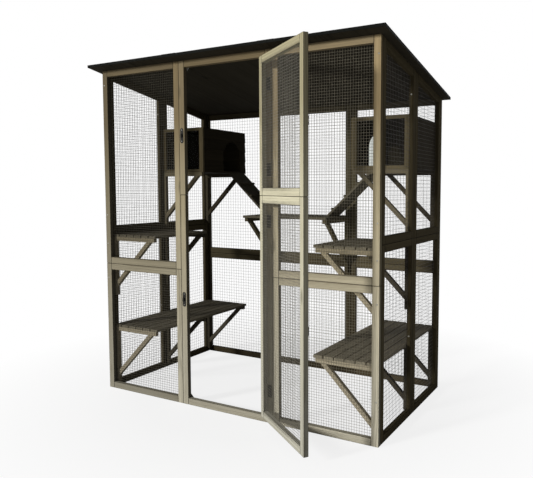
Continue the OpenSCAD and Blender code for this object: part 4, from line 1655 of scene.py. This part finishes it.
class CAGE_OT_stage(bpy.types.Operator):
    """Set up the camera, the pale floor and the soft lamps"""

    bl_idname = "cage.stage"
    bl_label = "Stage"

    SENSOR_WIDTH = 36
    VIEW_LIMIT = 100
    FLOOR_RADIUS = 30
    FLOOR_SEGMENTS = 96
    FLOOR_MIDDLE_Y = 0.43  # about half the cage's depth
    FLOOR_GAP = 0.0005
    FADE = (0.7, 1.9)  # distances from its middle between which the floor fades to white
    FLOOR_WHITE = 0.8  # how white the floor already is under the cage
    LAMP_DISTANCE = 4

    def execute(self, context):
        stage = context.scene.cage_stage
        self.place_camera(context.scene, stage)
        self.lay_floor(context.scene, stage)
        self.hang_lamp(context.scene, stage)
        self.light_world(context.scene, stage)
        context.scene.view_settings.view_transform = "Standard"
        return {"FINISHED"}

    def place_camera(self, scene, stage):
        """The camera, where the photograph was taken from."""
        lens = bpy.data.cameras.new("camera")
        camera = bpy.data.objects.new("camera", lens)
        scene.collection.objects.link(camera)
        turn = Vector(stage.camera_turn)
        to_view = Matrix.Rotation(turn.length, 3, turn.normalized())
        flip = Matrix(((1, 0, 0), (0, -1, 0), (0, 0, -1)))
        camera.matrix_world = (to_view.transposed() @ flip).to_4x4()
        camera.location = stage.camera_place
        lens.sensor_width = self.SENSOR_WIDTH
        lens.lens = self.SENSOR_WIDTH * stage.focal
        lens.shift_x = stage.shift[0]
        lens.shift_y = stage.shift[1]
        lens.clip_end = self.VIEW_LIMIT
        scene.camera = camera

    def lay_floor(self, scene, stage):
        """A pale round floor that runs into the white background and keeps the cage's shadow."""
        shape = bmesh.new()
        bmesh.ops.create_circle(
            shape, cap_ends=True, radius=self.FLOOR_RADIUS, segments=self.FLOOR_SEGMENTS
        )
        floor = bpy.data.objects.new("floor", mesh_of(shape, "floor"))
        scene.collection.objects.link(floor)
        floor.location = (0, self.FLOOR_MIDDLE_Y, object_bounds()[0].z - self.FLOOR_GAP)
        paper = Finish("floor_paper")
        place = paper.coordinates()
        distance = paper.node("ShaderNodeVectorMath", {0: place}, operation="LENGTH").outputs[1]
        ray = paper.node("ShaderNodeLightPath").outputs["Is Camera Ray"]
        white = paper.node("ShaderNodeEmission", {"Color": WHITE, "Strength": 1.0})
        fibre = paper.cloud(place, 90.0, detail=2)
        sheet = paper.blend(fibre, shade(stage.floor_colour, 0.985), shade(stage.floor_colour, 1))
        surface = {"Base Color": sheet, "Roughness": 0.9, "Specular IOR Level": 0.1}
        paper.fill(paper.surface, surface)
        share = paper.times(paper.span(distance, *self.FADE, to_low=self.FLOOR_WHITE), ray)
        shaders = {0: share, 1: paper.surface.outputs[0], 2: white.outputs[0]}
        mix = paper.node("ShaderNodeMixShader", shaders)
        paper.fill(paper.tree.nodes["Material Output"], {0: mix.outputs[0]})
        floor.data.materials.append(paper.material)
        floor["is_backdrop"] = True

    def hang_lamp(self, scene, stage):
        """A large soft lamp far off in front on the left."""
        lamp = bpy.data.lights.new("key_lamp", "SUN")
        lamp.energy = stage.key_strength
        lamp.angle = stage.key_spread
        holder = bpy.data.objects.new("key_lamp", lamp)
        scene.collection.objects.link(holder)
        holder.location = self.LAMP_DISTANCE * Vector(stage.key_direction)
        holder.rotation_euler = (-holder.location).to_track_quat("-Z", "Y").to_euler()
        holder.visible_glossy = False

    def light_world(self, scene, stage):
        """Even light all round, which the camera, gloss and glass see as a white background."""
        world = bpy.data.worlds.new("studio")
        scene.world = world
        world.use_nodes = True
        sky = Nodes(world.node_tree)
        soft = sky.tree.nodes["Background"]
        sky.fill(soft, {"Color": WHITE, "Strength": stage.sky})
        white = sky.node("ShaderNodeBackground", {"Color": WHITE, "Strength": 1.0})
        ray = sky.node("ShaderNodeLightPath").outputs
        seen = sky.arithmetic("ADD", ray["Is Camera Ray"], ray["Is Glossy Ray"], clamp=True)
        shown = sky.arithmetic("ADD", seen, ray["Is Transmission Ray"], clamp=True)
        mix = sky.node("ShaderNodeMixShader", {0: shown, 1: soft.outputs[0], 2: white.outputs[0]})
        sky.fill(sky.tree.nodes["World Output"], {0: mix.outputs[0]})


OPERATORS = (
    CAGE_OT_walls,
    CAGE_OT_door,
    CAGE_OT_shelves,
    CAGE_OT_boxes,
    CAGE_OT_nets,
    CAGE_OT_roof,
    CAGE_OT_fittings,
    CAGE_OT_stage,
)
SETTINGS = {
    "cage_timber": CageTimber,
    "cage_mesh": CageMesh,
    "cage_roof": CageRoof,
    "cage_metal": CageMetal,
    "cage_stage": CageStage,
}


class CAGE_PT_panel(bpy.types.Panel):
    """The cage's settings and operators"""

    bl_idname = "CAGE_PT_panel"
    bl_label = "Cat Cage"
    bl_space_type = "VIEW_3D"
    bl_region_type = "UI"
    bl_category = "Cat Cage"

    def draw(self, context):
        for name, kind in SETTINGS.items():
            box = self.layout.box()
            for key in kind.__annotations__:
                box.prop(getattr(context.scene, name), key)
        for operator in OPERATORS:
            self.layout.operator(operator.bl_idname)


def register():
    for kind in (*SETTINGS.values(), *OPERATORS, CAGE_PT_panel):
        bpy.utils.register_class(kind)
    for name, kind in SETTINGS.items():
        setattr(bpy.types.Scene, name, bpy.props.PointerProperty(type=kind))


def unregister():
    for name in SETTINGS:
        delattr(bpy.types.Scene, name)
    for kind in reversed((*SETTINGS.values(), *OPERATORS, CAGE_PT_panel)):
        bpy.utils.unregister_class(kind)


def main():
    register()
    bpy.ops.cage.walls()
    bpy.ops.cage.door()
    bpy.ops.cage.shelves()
    bpy.ops.cage.boxes()
    bpy.ops.cage.nets()
    bpy.ops.cage.roof()
    bpy.ops.cage.fittings()
    bpy.ops.cage.stage()


if __name__ == "__main__":
    main()
